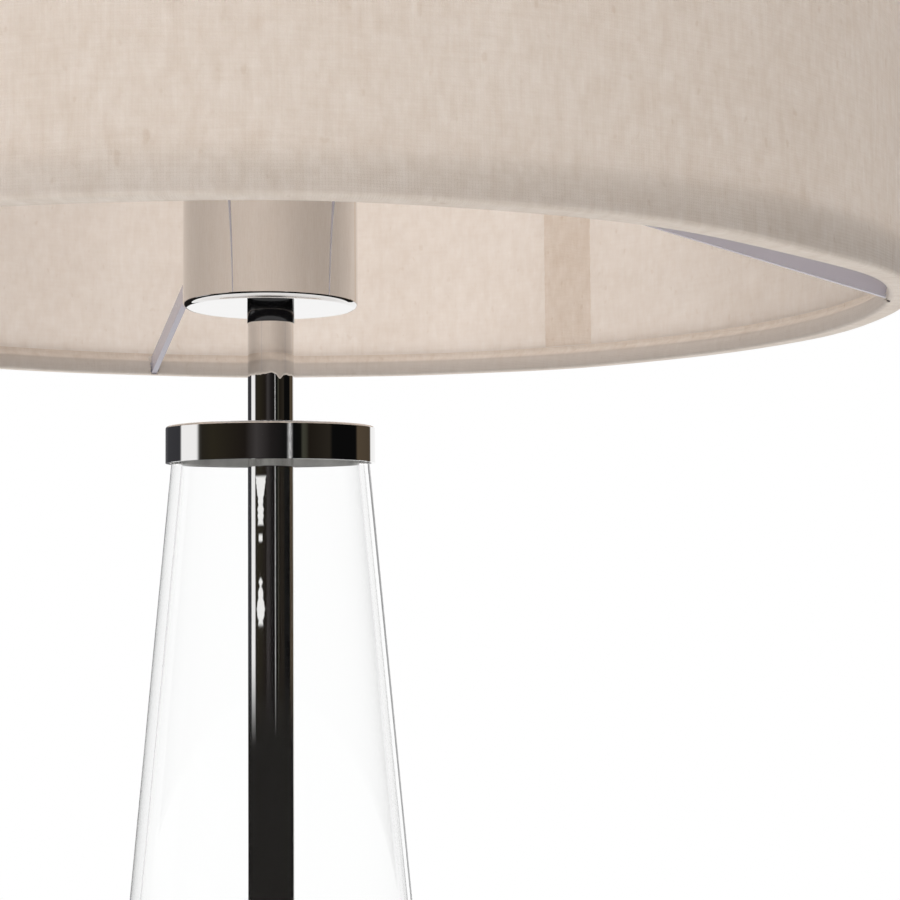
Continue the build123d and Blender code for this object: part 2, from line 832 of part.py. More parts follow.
# ---------------------------------------------------------------- shade
lower_wire_z = rim_z + hem_radius
upper_wire_z = shade_top - hem_radius
cover_inner = shade_radius - cover_thickness
lining_outer = cover_inner - glue_line
lining_inner = lining_outer - lining_thickness
hem_leg_outer = lining_inner - glue_line
lining_end = 2 * hem_radius - glue_line  # the lining stops just clear of the ring wire

with BuildPart() as lower_ring_wire:
    with BuildSketch(Plane.XZ):
        with Locations((wire_circle, lower_wire_z)):
            Circle(ring_wire_radius)
    revolve(axis=Axis.Z)

lower_ring_wire.part.label = "lower_ring_wire"
export_step(lower_ring_wire.part, "parts/lower_ring_wire.step")

with BuildPart() as upper_ring_wire:
    with BuildSketch(Plane.XZ):
        with Locations((wire_circle, upper_wire_z)):
            Circle(ring_wire_radius)
    revolve(axis=Axis.Z)

upper_ring_wire.part.label = "upper_ring_wire"
export_step(upper_ring_wire.part, "parts/upper_ring_wire.step")

with BuildPart() as shade_lining:
    with BuildSketch(Plane.XY.offset(rim_z + lining_end)):
        Circle(lining_outer)
        Circle(lining_inner, mode=Mode.SUBTRACT)
    extrude(amount=shade_height - 2 * lining_end)

shade_lining.part.label = "shade_lining"
export_step(shade_lining.part, "parts/shade_lining.step")

with BuildPart() as shade_cover:
    with BuildSketch(Plane.XY.offset(lower_wire_z)):
        Circle(shade_radius)
        Circle(cover_inner, mode=Mode.SUBTRACT)
    extrude(amount=upper_wire_z - lower_wire_z)

shade_cover.part.label = "shade_cover"
export_step(shade_cover.part, "parts/shade_cover.step")


def hem_section(rim, up):
    """Section of a hem turned in round its ring wire; up is 1 at the lower rim and -1 at the upper."""
    wire = rim + up * hem_radius
    inner_radius = hem_radius - hem_thickness
    leg_inner = hem_leg_outer - hem_thickness
    leg_foot = rim + up * lining_end
    leg_end = rim + up * hem_turn_height
    with BuildSketch(Plane.XZ) as section:
        with BuildLine():
            outer_turn = ThreePointArc(
                (wire_circle + hem_radius, wire),
                (wire_circle, rim),
                (wire_circle - hem_radius, wire),
            )
            Polyline(
                outer_turn @ 1,
                (wire_circle - hem_radius, wire + up * inner_radius),
                (leg_inner, leg_foot + up * hem_thickness),
                (leg_inner, leg_end),
                (hem_leg_outer, leg_end),
                (hem_leg_outer, leg_foot),
                (wire_circle - inner_radius, wire + up * ring_wire_radius),
                (wire_circle - inner_radius, wire),
            )
            ThreePointArc(
                (wire_circle - inner_radius, wire),
                (wire_circle, wire - up * inner_radius),
                (wire_circle + inner_radius, wire),
            )
            Line((wire_circle + inner_radius, wire), outer_turn @ 0)
        make_face()
    return section.sketch


with BuildPart() as lower_hem:
    add(hem_section(rim_z, 1))
    revolve(axis=Axis.Z)
    for angle in arm_angles:
        slot_plane = Plane.XZ.rotated((0, 0, angle)).offset(-arm_thickness / 2 - arm_slot_gap)
        with BuildSketch(slot_plane):
            with BuildLine():
                Polyline(
                    (arm_outer_radius + glue_line, rim_z),
                    (arm_outer_radius + glue_line, rim_z + arm_depth + arm_slot_gap),
                    (arm_outer_radius - 2 * arm_depth, rim_z + arm_depth + arm_slot_gap),
                    (arm_outer_radius - 2 * arm_depth, rim_z),
                    close=True,
                )
            make_face()
        extrude(amount=arm_thickness + 2 * arm_slot_gap, mode=Mode.SUBTRACT)

lower_hem.part.label = "lower_hem"
export_step(lower_hem.part, "parts/lower_hem.step")

with BuildPart() as upper_hem:
    add(hem_section(shade_top, -1))
    revolve(axis=Axis.Z)

upper_hem.part.label = "upper_hem"
export_step(upper_hem.part, "parts/upper_hem.step")

seam_outer = lining_inner - glue_line
seam_bottom = rim_z + hem_turn_height + run_gap
seam_height = shade_height - 2 * hem_turn_height - 2 * run_gap
seam_sector = 2 * seam_width

with BuildPart() as seam_strip:
    with BuildSketch(Plane.XY.offset(seam_bottom)):
        Circle(seam_outer)
        Circle(seam_outer - seam_thickness, mode=Mode.SUBTRACT)
        with Locations(Location((0, 0, 0), (0, 0, seam_azimuth))):
            with Locations((shade_radius, 0)):
                Rectangle(seam_sector, seam_width, mode=Mode.INTERSECT)
    extrude(amount=seam_height)

seam_strip.part.label = "seam_strip"
export_step(seam_strip.part, "parts/seam_strip.step")

# ---------------------------------------------------------------- retaining ring of the shade
retaining_bottom = fitter_top + run_gap

with BuildPart() as retaining_ring:
    with BuildSketch(Plane.XY.offset(retaining_bottom)):
        Circle(retaining_radius)
        Circle(skirt_radius + run_gap, mode=Mode.SUBTRACT)
    extrude(amount=retaining_height)
    with BuildSketch(Plane.XY.offset(retaining_bottom)):
        with PolarLocations(retaining_radius + grip_radius - grip_depth, grip_count):
            Circle(grip_radius)
    extrude(amount=retaining_height, mode=Mode.SUBTRACT)

retaining_ring.part.label = "retaining_ring"
export_step(retaining_ring.part, "parts/retaining_ring.step")

print("rim", rim_z, "shade top", shade_top, "bulb tip", bulb_tip)
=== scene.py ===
"""Candlestick table lamp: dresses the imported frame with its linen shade, finishes, details and studio."""

import functools
import json
import logging
import math
import random
from dataclasses import dataclass
from enum import Enum
from typing import Any, Callable, Iterable, Sequence

import bmesh
import bpy
from mathutils import Matrix, Vector

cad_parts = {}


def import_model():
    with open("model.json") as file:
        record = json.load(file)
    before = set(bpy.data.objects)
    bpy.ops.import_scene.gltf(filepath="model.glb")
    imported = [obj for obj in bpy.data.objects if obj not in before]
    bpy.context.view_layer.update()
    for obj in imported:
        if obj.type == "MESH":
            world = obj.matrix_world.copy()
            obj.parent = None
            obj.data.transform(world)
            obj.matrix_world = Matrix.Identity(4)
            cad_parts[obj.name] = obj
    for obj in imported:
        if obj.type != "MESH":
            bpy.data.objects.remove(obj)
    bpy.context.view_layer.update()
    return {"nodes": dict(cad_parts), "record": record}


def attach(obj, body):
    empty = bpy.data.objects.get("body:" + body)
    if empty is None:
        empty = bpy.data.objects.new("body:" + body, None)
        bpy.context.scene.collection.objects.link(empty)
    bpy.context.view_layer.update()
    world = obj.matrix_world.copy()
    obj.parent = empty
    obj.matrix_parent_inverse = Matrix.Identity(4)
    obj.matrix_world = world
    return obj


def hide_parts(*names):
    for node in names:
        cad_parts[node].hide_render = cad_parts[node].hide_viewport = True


LOG = logging.getLogger("lamp")
MM = 0.001
TURN = 2 * math.pi

Colour = tuple[float, float, float]
Point = tuple[float, float]
Point3 = tuple[float, float, float]
WHITE: Colour = (1.0, 1.0, 1.0)


class Body(Enum):
    """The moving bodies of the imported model."""

    STAND = "stand"
    SHADE_RING = "shade_ring"
    SHADE = "shade"
    BULB = "bulb"


class Weave(Enum):
    """How the linen lies, as the share of its light that comes through from behind."""

    SINGLE = 0.50
    GLUED = 0.42


# ---------------------------------------------------------------- shader maths


class Signal:
    """One output of a node, with Python's operators as Math nodes."""

    def __init__(self, board: "Board", socket: bpy.types.NodeSocket) -> None:
        """Wraps a socket.

        Args:
            board: The node tree that the socket is in.
            socket: The output socket.
        """
        self.board = board
        self.socket = socket

    def maths(self, operation: str, *others: "Signal | float") -> "Signal":
        """This signal and the others in one Math node."""
        inputs = dict(enumerate((self, *others)))
        return self.board.node("ShaderNodeMath", {"operation": operation}, inputs)

    def __add__(self, other: "Signal | float") -> "Signal":
        """Sum."""
        return self.maths("ADD", other)

    __radd__ = __add__

    def __mul__(self, other: "Signal | float") -> "Signal":
        """Product."""
        return self.maths("MULTIPLY", other)

    __rmul__ = __mul__

    def __sub__(self, other: "Signal | float") -> "Signal":
        """Difference."""
        return self.maths("SUBTRACT", other)

    def __rsub__(self, other: float) -> "Signal":
        """Difference, with the number first."""
        return self.board.node("ShaderNodeMath", {"operation": "SUBTRACT"}, {0: other, 1: self})

    def __truediv__(self, other: "Signal | float") -> "Signal":
        """Quotient."""
        return self.maths("DIVIDE", other)

    def __abs__(self) -> "Signal":
        """Value without its sign."""
        return self.maths("ABSOLUTE")

    def sine(self) -> "Signal":
        """Sine of an angle in radians."""
        return self.maths("SINE")

    def above(self, edge: float, soft: float) -> "Signal":
        """Mask that rises from 0 to 1 over the width soft, centred on edge."""
        return self.board.node(
            "ShaderNodeMapRange",
            {"interpolation_type": "SMOOTHSTEP"},
            {0: self, 1: edge - soft / 2, 2: edge + soft / 2},
        )

    def between(self, low: float, high: float, soft: float) -> "Signal":
        """Mask that is 1 from low to high."""
        return self.above(low, soft) * (1 - self.above(high, soft))


class Board:
    """The node tree of one material or of the world."""

    def __init__(self, owner: bpy.types.Material | bpy.types.World) -> None:
        """Empties the owner's node tree.

        Args:
            owner: The material or world to make nodes for.
        """
        owner.use_nodes = True
        self.tree = owner.node_tree
        self.tree.nodes.clear()
        kind = "World" if isinstance(owner, bpy.types.World) else "Material"
        self.ending = f"ShaderNodeOutput{kind}"

    def end(self, surface: Signal) -> None:
        """Connects a shader to the output."""
        made = self.tree.nodes.new(self.ending)
        self.tree.links.new(surface.socket, made.inputs["Surface"])

    def node(
        self,
        kind: str,
        settings: dict[str, Any] | None = None,
        sockets: dict[int | str, Any] | None = None,
        output: int | str = 0,
    ) -> Signal:
        """Makes a node, its settings first and then its sockets.

        Args:
            kind: The node's type name.
            settings: Attributes to set; "stops" holds a ramp's places and colours.
            sockets: Values or signals for its input sockets.
            output: The output socket to return.

        Returns:
            The chosen output.
        """
        made = self.tree.nodes.new(kind)
        for name, value in (settings or {}).items():
            if name == "stops":
                self._set_stops(made.color_ramp, value)
            else:
                setattr(made, name, value)
        for key, value in (sockets or {}).items():
            if isinstance(value, Signal):
                self.tree.links.new(value.socket, made.inputs[key])
            else:
                made.inputs[key].default_value = value
        return Signal(self, made.outputs[output])

    @staticmethod
    def _set_stops(ramp: bpy.types.ColorRamp, stops: Sequence[tuple[float, Colour]]) -> None:
        """Fills a colour ramp.

        Args:
            ramp: The ramp.
            stops: Each stop's place from 0 to 1 and its colour.
        """
        while len(ramp.elements) < len(stops):
            ramp.elements.new(1.0)
        for element, (place, colour) in zip(ramp.elements, stops):
            element.position = place
            element.color = (*colour, 1.0)

    def blend(self, factor: Signal | float, first: Any, second: Any) -> Signal:
        """Mixes two colours.

        Args:
            factor: Share of the second colour.
            first: Colour or signal.
            second: Colour or signal.

        Returns:
            The mixed colour.
        """
        colours = [(*c, 1.0) if isinstance(c, tuple) else c for c in (first, second)]
        sockets = {0: factor, 6: colours[0], 7: colours[1]}
        return self.node("ShaderNodeMix", {"data_type": "RGBA"}, sockets, 2)

    def noise(self, place: Signal, scale: float, detail: float = 2.0, roughness: float = 0.5) -> Signal:
        """Noise from 0 to 1, about 0.5 on average."""
        sockets = {"Vector": place, "Scale": scale, "Detail": detail, "Roughness": roughness}
        return self.node("ShaderNodeTexNoise", {"normalize": True}, sockets)

    def place(self) -> Signal:
        """The point on the piece, in metres."""
        return self.node("ShaderNodeTexCoord", output="Object")

    def cloth(self) -> tuple[Signal, Signal]:
        """The place along and across a cloth piece, in metres of its flat cut."""
        flat = self.node("ShaderNodeUVMap", {"uv_map": "Cloth"})
        return self.part(flat, "X"), self.part(flat, "Y")

    def part(self, vector: Signal, axis: str) -> Signal:
        """One axis of a vector."""
        return self.node("ShaderNodeSeparateXYZ", sockets={0: vector}, output=axis)

    def vector(self, x: Signal | float, y: Signal | float, z: Signal | float = 0.0) -> Signal:
        """A vector from three values."""
        return self.node("ShaderNodeCombineXYZ", sockets={0: x, 1: y, 2: z})

    def stretched(self, place: Signal, scale: Colour) -> Signal:
        """A vector scaled along each axis."""
        return self.node("ShaderNodeVectorMath", {"operation": "MULTIPLY"}, {0: place, 1: scale})

    def bump(self, height: Signal, depth: float, **under: Signal) -> Signal:
        """A normal from a height between 0 and 1 that stands for depth metres, over the bump under it."""
        sockets = {"Strength": 1.0, "Distance": depth, "Height": height, **under}
        return self.node("ShaderNodeBump", sockets=sockets)

    def principled(self, **sockets: Any) -> Signal:
        """A Principled shader; underscores in the names stand for spaces."""
        named = {name.replace("_", " "): value for name, value in sockets.items()}
        for name, value in named.items():
            if isinstance(value, tuple):
                named[name] = (*value, 1.0)
        return self.node("ShaderNodeBsdfPrincipled", sockets=named)

    def mixed(self, factor: Signal | float, first: Signal, second: Signal) -> Signal:
        """A Mix Shader node."""
        return self.node("ShaderNodeMixShader", sockets={0: factor, 1: first, 2: second})

    def ray(self, kind: str) -> Signal:
        """What the ray is or how deep it has gone, such as "Is Camera Ray"."""
        return self.node("ShaderNodeLightPath", output=kind)


# ---------------------------------------------------------------- finishes


def scaled(colour: Colour, share: float) -> Colour:
    """A colour with each of its parts multiplied by share."""
    return tuple(share * part for part in colour)


@dataclass(frozen=True)
class Finish:
    """A surface finish; each kind paints its own shader."""

    name: str

    @functools.cache
    def material(self) -> bpy.types.Material:
        """The finish's material, made once.

        Returns:
            The Blender material.
        """
        made = bpy.data.materials.new(f"{self.name}_finish")
        board = Board(made)
        board.end(self.surface(board))
        return made

    def surface(self, board: Board) -> Signal:
        """The finish's shader."""
        raise NotImplementedError


@dataclass(frozen=True)
class PlatedMetal(Finish):
    """Polished plate with faint wipe marks and the soft waves of spun or drawn metal."""

    tint: Colour = (0.83, 0.82, 0.81)
    polish: float = 0.008
    wipe: float = 0.02
    wave: float = 0.000004
    grain: Colour = (60.0, 60.0, 60.0)
    grain_depth: float = 0.0

    def surface(self, board: Board) -> Signal:
        """The plate's shader."""
        place = board.place()
        smudge = board.noise(place, 38.0, 3.0).above(0.58, 0.3)
        fine = board.noise(board.stretched(place, self.grain), 9.0, 3.0, 0.6)
        rough = self.polish + self.wipe * smudge + fine * (0.4 * self.polish)
        tint = board.blend(smudge * 0.25, self.tint, scaled(self.tint, 0.93))
        normal = board.bump(board.noise(place, 55.0, 1.0), self.wave)
        if self.grain_depth:
            normal = board.bump(fine, self.grain_depth, Normal=normal)
        return board.principled(Base_Color=tint, Metallic=1.0, Roughness=rough, Normal=normal)


@dataclass(frozen=True)
class ClearGlass(Finish):
    """Clear glass with faint streaks and a trace of dust; light from lamps passes straight through."""

    tint: Colour = (0.998, 1.0, 0.999)
    dust: float = 0.012
    index: float = 1.22
    mirror: float = 0.3

    def surface(self, board: Board) -> Signal:
        """The glass's shader."""
        place = board.place()
        streak = board.noise(board.stretched(place, (30.0, 30.0, 4.0)), 2.0, 2.0)
        rough = board.noise(place, 220.0, 2.0).above(0.72, 0.1) * self.dust
        glass = board.principled(
            Base_Color=self.tint,
            Roughness=rough,
            IOR=self.index,
            Transmission_Weight=1.0,
            Specular_Tint=scaled(WHITE, self.mirror),
            Normal=board.bump(streak, 0.000012),
        )
        through = board.node("ShaderNodeBsdfTransparent", sockets={0: (*self.tint, 1.0)})
        light = board.ray("Is Shadow Ray").maths("MAXIMUM", board.ray("Is Diffuse Ray"))
        return board.mixed(light, glass, through)


@dataclass(frozen=True)
class PowderCoat(Finish):
    """Powder coat with orange peel; its white is painted as a darker lilac grey, which is painted shade."""

    # Painted shade: the white coat's colour is set to a darker lilac grey, as the carrier stands in shade.
    colour: Colour = (0.48, 0.465, 0.53)
    peel: float = 0.00002

    def surface(self, board: Board) -> Signal:
        """The coat's shader."""
        place = board.place()
        peel = board.noise(place, 900.0, 2.0)
        shade = board.blend(board.noise(place, 60.0, 2.0), self.colour, scaled(self.colour, 0.94))
        rough = 0.20 + 0.10 * peel
        return board.principled(Base_Color=shade, Roughness=rough, Normal=board.bump(peel, self.peel))


@dataclass(frozen=True)
class Moulded(Finish):
    """Moulded plastic, rubber or enamel with a fine skin."""

    colour: Colour = (0.8, 0.8, 0.8)
    rough: float = 0.35
    skin: float = 0.00002
    scale: float = 1400.0
    drift: float = 0.08

    def surface(self, board: Board) -> Signal:
        """The moulding's shader."""
        place = board.place()
        skin = board.noise(place, self.scale, 2.0)
        cloud = board.noise(place, 90.0, 3.0)
        shade = board.blend(cloud, self.colour, scaled(self.colour, 1 - self.drift))
        rough = self.rough + 0.1 * skin + 0.06 * cloud
        return board.principled(Base_Color=shade, Roughness=rough, Normal=board.bump(skin, self.skin))


@dataclass(frozen=True)
class RoughCasting(Finish):
    """Cast iron under thin black lacquer, rubbed grey on its high grains."""

    colour: Colour = (0.045, 0.045, 0.05)
    bare: Colour = (0.16, 0.155, 0.15)

    def surface(self, board: Board) -> Signal:
        """The casting's shader."""
        place = board.place()
        sand = board.noise(place, 700.0, 4.0, 0.65)
        rubbed = sand.above(0.62, 0.12)
        tint = board.blend(rubbed, self.colour, self.bare)
        rough = 0.72 - 0.2 * rubbed
        normal = board.bump(sand, 0.00025)
        return board.principled(Base_Color=tint, Metallic=0.35 * rubbed, Roughness=rough, Normal=normal)


@dataclass(frozen=True)
class WoolFelt(Finish):
    """Pressed felt: short fibres in all directions, with a little pilling."""

    colour: Colour = (0.052, 0.052, 0.058)

    def surface(self, board: Board) -> Signal:
        """The felt's shader."""
        place = board.place()
        along = board.noise(board.stretched(place, (1.0, 6.0, 3.0)), 480.0, 3.0, 0.7)
        across = board.noise(board.stretched(place, (6.0, 1.0, 3.0)), 480.0, 3.0, 0.7)
        fibres = along.maths("MAXIMUM", across)
        pills = board.noise(place, 260.0, 2.0).above(0.66, 0.1)
        tint = board.blend(fibres.above(0.6, 0.3), self.colour, scaled(self.colour, 2.1))
        normal = board.bump(fibres + 0.5 * pills, 0.0003)
        return board.principled(Base_Color=tint, Roughness=0.93, Sheen_Weight=0.35, Normal=normal)


@dataclass(frozen=True)
class LinenThreads:
    """The threads of the shade's linen, which show in the cloth itself and through its lining."""

    pitch: float = 0.00055
    wander: float = 1.2

    def read(self, board: Board) -> tuple[Signal, Signal]:
        """Reads the threads at a place of the cloth.

        Args:
            board: The node tree to make them in.

        Returns:
            The height of the weave from 0 to 1, and the thickness of the yarn, about 0.5 on average.
        """
        along, across = board.cloth()
        drift = board.noise(board.vector(along, across), 60.0, 2.0) * self.wander
        u = along / self.pitch + drift
        v = across / self.pitch - drift
        warp = (u * math.pi).sine()
        weft = (v * math.pi).sine()
        over = (warp * weft).above(0.0, 0.6)
        height = abs(warp) * over + abs(weft) * (1 - over)
        long_slub = board.noise(board.vector(along * 1100.0, across * 150.0), 1.0, 3.0, 0.6)
        cross_slub = board.noise(board.vector(along * 130.0, across * 1100.0, 3.0), 1.0, 3.0, 0.6)
        clouds = board.noise(board.vector(along * 340.0, across * 150.0, 7.0), 1.0, 2.0, 0.6)
        patches = board.noise(board.vector(along, across, 9.0), 42.0, 2.0)
        knots = board.noise(board.vector(along * 420.0, across * 260.0, 12.0), 1.0, 1.0).above(0.72, 0.1)
        thick = 0.45 * long_slub + 0.4 * cross_slub + 0.85 * clouds + 0.4 * patches - 0.55
        return height, thick + 0.3 * knots


THREADS = LinenThreads()


@dataclass(frozen=True)
class Linen(Finish):
    """Natural linen, thin enough to glow with light behind it; its glued hems are denser."""

    weave: Weave = Weave.SINGLE
    cut: float = 0.0
    pale: Colour = (0.875, 0.805, 0.735)
    dark: Colour = (0.66, 0.565, 0.475)
    glow_pale: Colour = (1.0, 0.96, 0.92)
    glow_dark: Colour = (0.86, 0.76, 0.67)
    # Colour of the painted shade along the inside of the turned-in hems.
    painted_shade_colour: Colour = (0.40, 0.365, 0.34)
    glue_reach: float = 22.5 * MM
    turned_under: Point = (4.5 * MM, 15.0 * MM)
    painted_shade_span: Point = (3.8 * MM, 9.5 * MM)

    def surface(self, board: Board) -> Signal:
        """The linen's shader, denser in its glued hems, with a band of painted shade along the inside of the
        turned-in hem.
        """
        height, thick = THREADS.read(board)
        # Yarn thickness gives the cloth's own tone; the weave's low places are painted darker as painted
        # shade.
        tone_and_weave_shade = thick + 0.12 * (0.5 - height)
        tint = board.blend(tone_and_weave_shade, self.pale, self.dark)
        glow = board.blend(tone_and_weave_shade, self.glow_pale, self.glow_dark)
        normal = board.bump(0.5 * height + 0.8 * thick, 0.0001)
        share: Signal | float = self.weave.value
        if self.cut:
            across = board.cloth()[1]
            edge = across.maths("MINIMUM", self.cut - across)
            glued = 1 - edge.above(self.glue_reach, 3 * MM)
            rolled = edge.between(*self.turned_under, 2 * MM)
            share = share * (1 - 0.52 * glued) * (1 - 0.75 * rolled)
            # Painted shade: darkens the cloth along the inside of the turned-in hem.
            hem_shadow_mask = edge.between(*self.painted_shade_span, 2 * MM)
            tint = board.blend(0.6 * hem_shadow_mask, tint, self.painted_shade_colour)
        cloth = board.principled(Base_Color=tint, Roughness=0.86, Sheen_Weight=0.06, Normal=normal)
        behind = board.node("ShaderNodeBsdfTranslucent", sockets={0: glow, "Normal": normal})
        return board.mixed(share, cloth, behind)


@dataclass(frozen=True)
class LaminateLining(Finish):
    """The milky film that the linen is glued to, with its threads showing through."""

    milk: Colour = (0.995, 0.985, 0.975)
    shadow: Colour = (0.84, 0.795, 0.755)
    clear: float = 0.92

    def surface(self, board: Board) -> Signal:
        """The lining's shader."""
        height, thick = THREADS.read(board)
        tint = board.blend(thick, self.milk, self.shadow)
        normal = board.bump(height, 0.00001)
        film = board.principled(Base_Color=tint, Roughness=0.45, Normal=normal)
        behind = board.node("ShaderNodeBsdfTranslucent", sockets={0: tint})
        return board.mixed(self.clear, film, behind)


def finishes(cloth_height: float) -> dict[str, Finish]:
    """The finish of each material slot of the record, and variants of some, named slot.variant.

    Args:
        cloth_height: Length of the shade's cloth from one turned-in edge to the other.

    Returns:
        Name to finish.
    """
    spun = (25.0, 25.0, 0.6)
    listed: list[Finish] = [
        WoolFelt("felt"),
        PlatedMetal("zinc_steel", (0.58, 0.59, 0.61), 0.26, 0.12, 0.00003, (80.0, 80.0, 80.0), 0.00002),
        RoughCasting("cast_iron"),
        PlatedMetal("chrome", grain=spun, grain_depth=0.0000002),
        Moulded("black_rubber", (0.022, 0.022, 0.023), 0.62, 0.00003, 1800.0, 0.2),
        Moulded("grey_rubber", (0.30, 0.295, 0.29), 0.6, 0.00003, 1800.0, 0.15),
        Moulded("white_nylon", (0.78, 0.78, 0.74), 0.42, 0.00003, 1200.0),
        ClearGlass("clear_glass"),
        Moulded("white_plastic", (0.80, 0.80, 0.78), 0.2, 0.00001, 700.0, 0.04),
        Moulded("white_ceramic", (0.80, 0.77, 0.71), 0.66, 0.00006, 1500.0, 0.1),
        PlatedMetal("brass", (0.78, 0.58, 0.27), 0.16, 0.12, 0.00002, (90.0, 90.0, 90.0), 0.00001),
        Moulded("lead_sheath", (0.70, 0.70, 0.68), 0.45, 0.00002, 900.0),
        Moulded("core_insulation", (0.17, 0.085, 0.04), 0.38, 0.00001, 900.0, 0.15),
        PowderCoat("white_powder"),
        LaminateLining("lining"),
        Linen("linen", cut=cloth_height),
        PlatedMetal("nickel", (0.66, 0.63, 0.59), 0.14, 0.1, 0.00002, (40.0, 40.0, 4.0), 0.00001),
        Moulded("black_vitrite", (0.012, 0.012, 0.014), 0.12, 0.00002, 500.0, 0.3),
        ClearGlass("bulb_glass", (0.99, 0.995, 1.0), 0.006),
        Moulded("filament", (0.84, 0.60, 0.13), 0.5, 0.00004, 2600.0, 0.25),
        Linen("linen.strip", Weave.GLUED),
        Moulded("linen.yarn", (0.72, 0.66, 0.58), 0.85, 0.00002, 3000.0, 0.2),
        Moulded("black_vitrite.bush", (0.008, 0.008, 0.009), 0.02, 0.000002, 300.0, 0.3),
        Moulded("white_nylon.sleeve", (0.62, 0.62, 0.60), 0.3, 0.00004, 500.0, 0.75),
    ]
    return {finish.name: finish for finish in listed}


# ---------------------------------------------------------------- meshes


def linked(name: str, mesh: bpy.types.Mesh, finish: Finish, body: Body) -> bpy.types.Object:
    """Puts a mesh in the scene as a piece that rides on a body.

    Args:
        name: The piece's name.
        mesh: Its mesh.
        finish: Its finish, whose name up to a dot is its material slot.
        body: The body that it rides on.

    Returns:
        The piece.
    """
    mesh.materials.append(finish.material())
    piece = bpy.data.objects.new(name, mesh)
    bpy.context.scene.collection.objects.link(piece)
    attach(piece, body.value)
    LOG.info("%s: %d faces, on %s", name, len(mesh.polygons), body.value)
    return piece


def finished(name: str, built: bmesh.types.BMesh) -> bpy.types.Mesh:
    """Turns what was built into a mesh of that name."""
    mesh = bpy.data.meshes.new(name)
    built.to_mesh(mesh)
    built.free()
    return mesh


def clamped(value: float) -> float:
    """The value, kept between 0 and 1."""
    return min(max(value, 0.0), 1.0)


@dataclass
class Lathe:
    """A half section turned round the lamp's axis.

    The section's points are radius and height in metres. A closed section makes a ring.
    """

    section: Sequence[Point]
    steps: int = 96
    closed: bool = False
    crease: float = math.radians(50.0)
    azimuths: Sequence[float] = ()
    shift: Callable[[float, int], Point] | None = None
    leave_out: Callable[[float, int], bool] | None = None

    def mesh(self, name: str) -> bpy.types.Mesh:
        """Builds the mesh, with the UV map "Cloth" in metres of arc and section length.

        Args:
            name: The mesh's name.

        Returns:
            The mesh.
        """
        angles = list(self.azimuths) or [TURN * step / self.steps for step in range(self.steps)]
        rows = len(self.section)
        radius = max(point[0] for point in self.section)
        lengths = [0.0]
        for one, two in zip(self.section, self.section[1:]):
            lengths.append(lengths[-1] + math.dist(one, two))
        built = bmesh.new()
        grid = []
        for angle in angles:
            column = []
            for row, (r, z) in enumerate(self.section):
                dr, dz = self.shift(angle, row) if self.shift else (0.0, 0.0)
                place = ((r + dr) * math.cos(angle), (r + dr) * math.sin(angle), z + dz)
                column.append(built.verts.new(place))
            grid.append(column)
        cloth = built.loops.layers.uv.new("Cloth")
        for column, angle in enumerate(angles):
            following = (column + 1) % len(angles)
            ahead = angles[following] + (TURN if following == 0 else 0.0)
            middle = (angle + ahead) / 2
            for row in range(rows if self.closed else rows - 1):
                up = (row + 1) % rows
                if self.leave_out and self.leave_out(middle, row):
                    continue
                corners = [grid[column][row], grid[following][row], grid[following][up], grid[column][up]]
                if len({vert.co.to_tuple(9) for vert in corners}) < 3:
                    continue
                face = built.faces.new(corners)
                face.smooth = True
                high = lengths[up] if up else lengths[row]
                flat = [(angle, lengths[row]), (ahead, lengths[row]), (ahead, high), (angle, high)]
                for loop, (turned, length) in zip(face.loops, flat):
                    loop[cloth].uv = (turned * radius, length)
        bmesh.ops.remove_doubles(built, verts=built.verts, dist=1e-7)
        bmesh.ops.delete(built, geom=[v for v in built.verts if not v.link_faces], context="VERTS")
        if self.closed:
            bmesh.ops.recalc_face_normals(built, faces=built.faces)
            for edge in built.edges:
                edge.smooth = edge.calc_face_angle(0.0) < self.crease
        return finished(name, built)

    def piece(self, name: str, finish: Finish, body: Body) -> bpy.types.Object:
        """Builds the mesh and puts it in the scene as a piece."""
        return linked(name, self.mesh(name), finish, body)


def arc(centre: Point, radius: float, start: float, end: float, steps: int) -> list[Point]:
    """Points along an arc of a half section.

    Args:
        centre: Its centre.
        radius: Its radius.
        start: First angle in degrees, from the radial direction upwards.
        end: Last angle in degrees.
        steps: Number of chords.

    Returns:
        The points.
    """
    angles = [math.radians(start + (end - start) * step / steps) for step in range(steps + 1)]
    return [(centre[0] + radius * math.cos(a), centre[1] + radius * math.sin(a)) for a in angles]


def straight(start: Point, end: Point, steps: int) -> list[Point]:
    """Points along a straight run of a half section, without its first point."""
    return [
        (start[0] + (end[0] - start[0]) * step / steps, start[1] + (end[1] - start[1]) * step / steps)
        for step in range(1, steps + 1)
    ]


def strands(name: str, paths: Iterable[Sequence[Vector]], radius: float) -> bpy.types.Mesh:
    """Thin round threads that taper to their ends, as one closed mesh each.

    Args:
        name: The mesh's name.
        paths: Each thread's points.
        radius: Radius at a thread's root.

    Returns:
        The mesh.
    """
    sides = 5
    built = bmesh.new()
    for path in paths:
        rings = []
        for index, point in enumerate(path):
            ahead = path[min(index + 1, len(path) - 1)] - path[max(index - 1, 0)]
            turn = ahead.normalized().to_track_quat("Z", "Y").to_matrix()
            thin = radius * (1.0 - 0.75 * index / (len(path) - 1))
            ring = []
            for side in range(sides):
                angle = TURN * side / sides
                spoke = Vector((thin * math.cos(angle), thin * math.sin(angle), 0))
                ring.append(built.verts.new(point + turn @ spoke))
            rings.append(ring)
        for low, high in zip(rings, rings[1:]):
            for side in range(sides):
                after = (side + 1) % sides
                face = built.faces.new((low[side], low[after], high[after], high[side]))
                face.smooth = True
        built.faces.new(rings[0][::-1])
        built.faces.new(rings[-1])
    return finished(name, built)


# ---------------------------------------------------------------- sub-assemblies


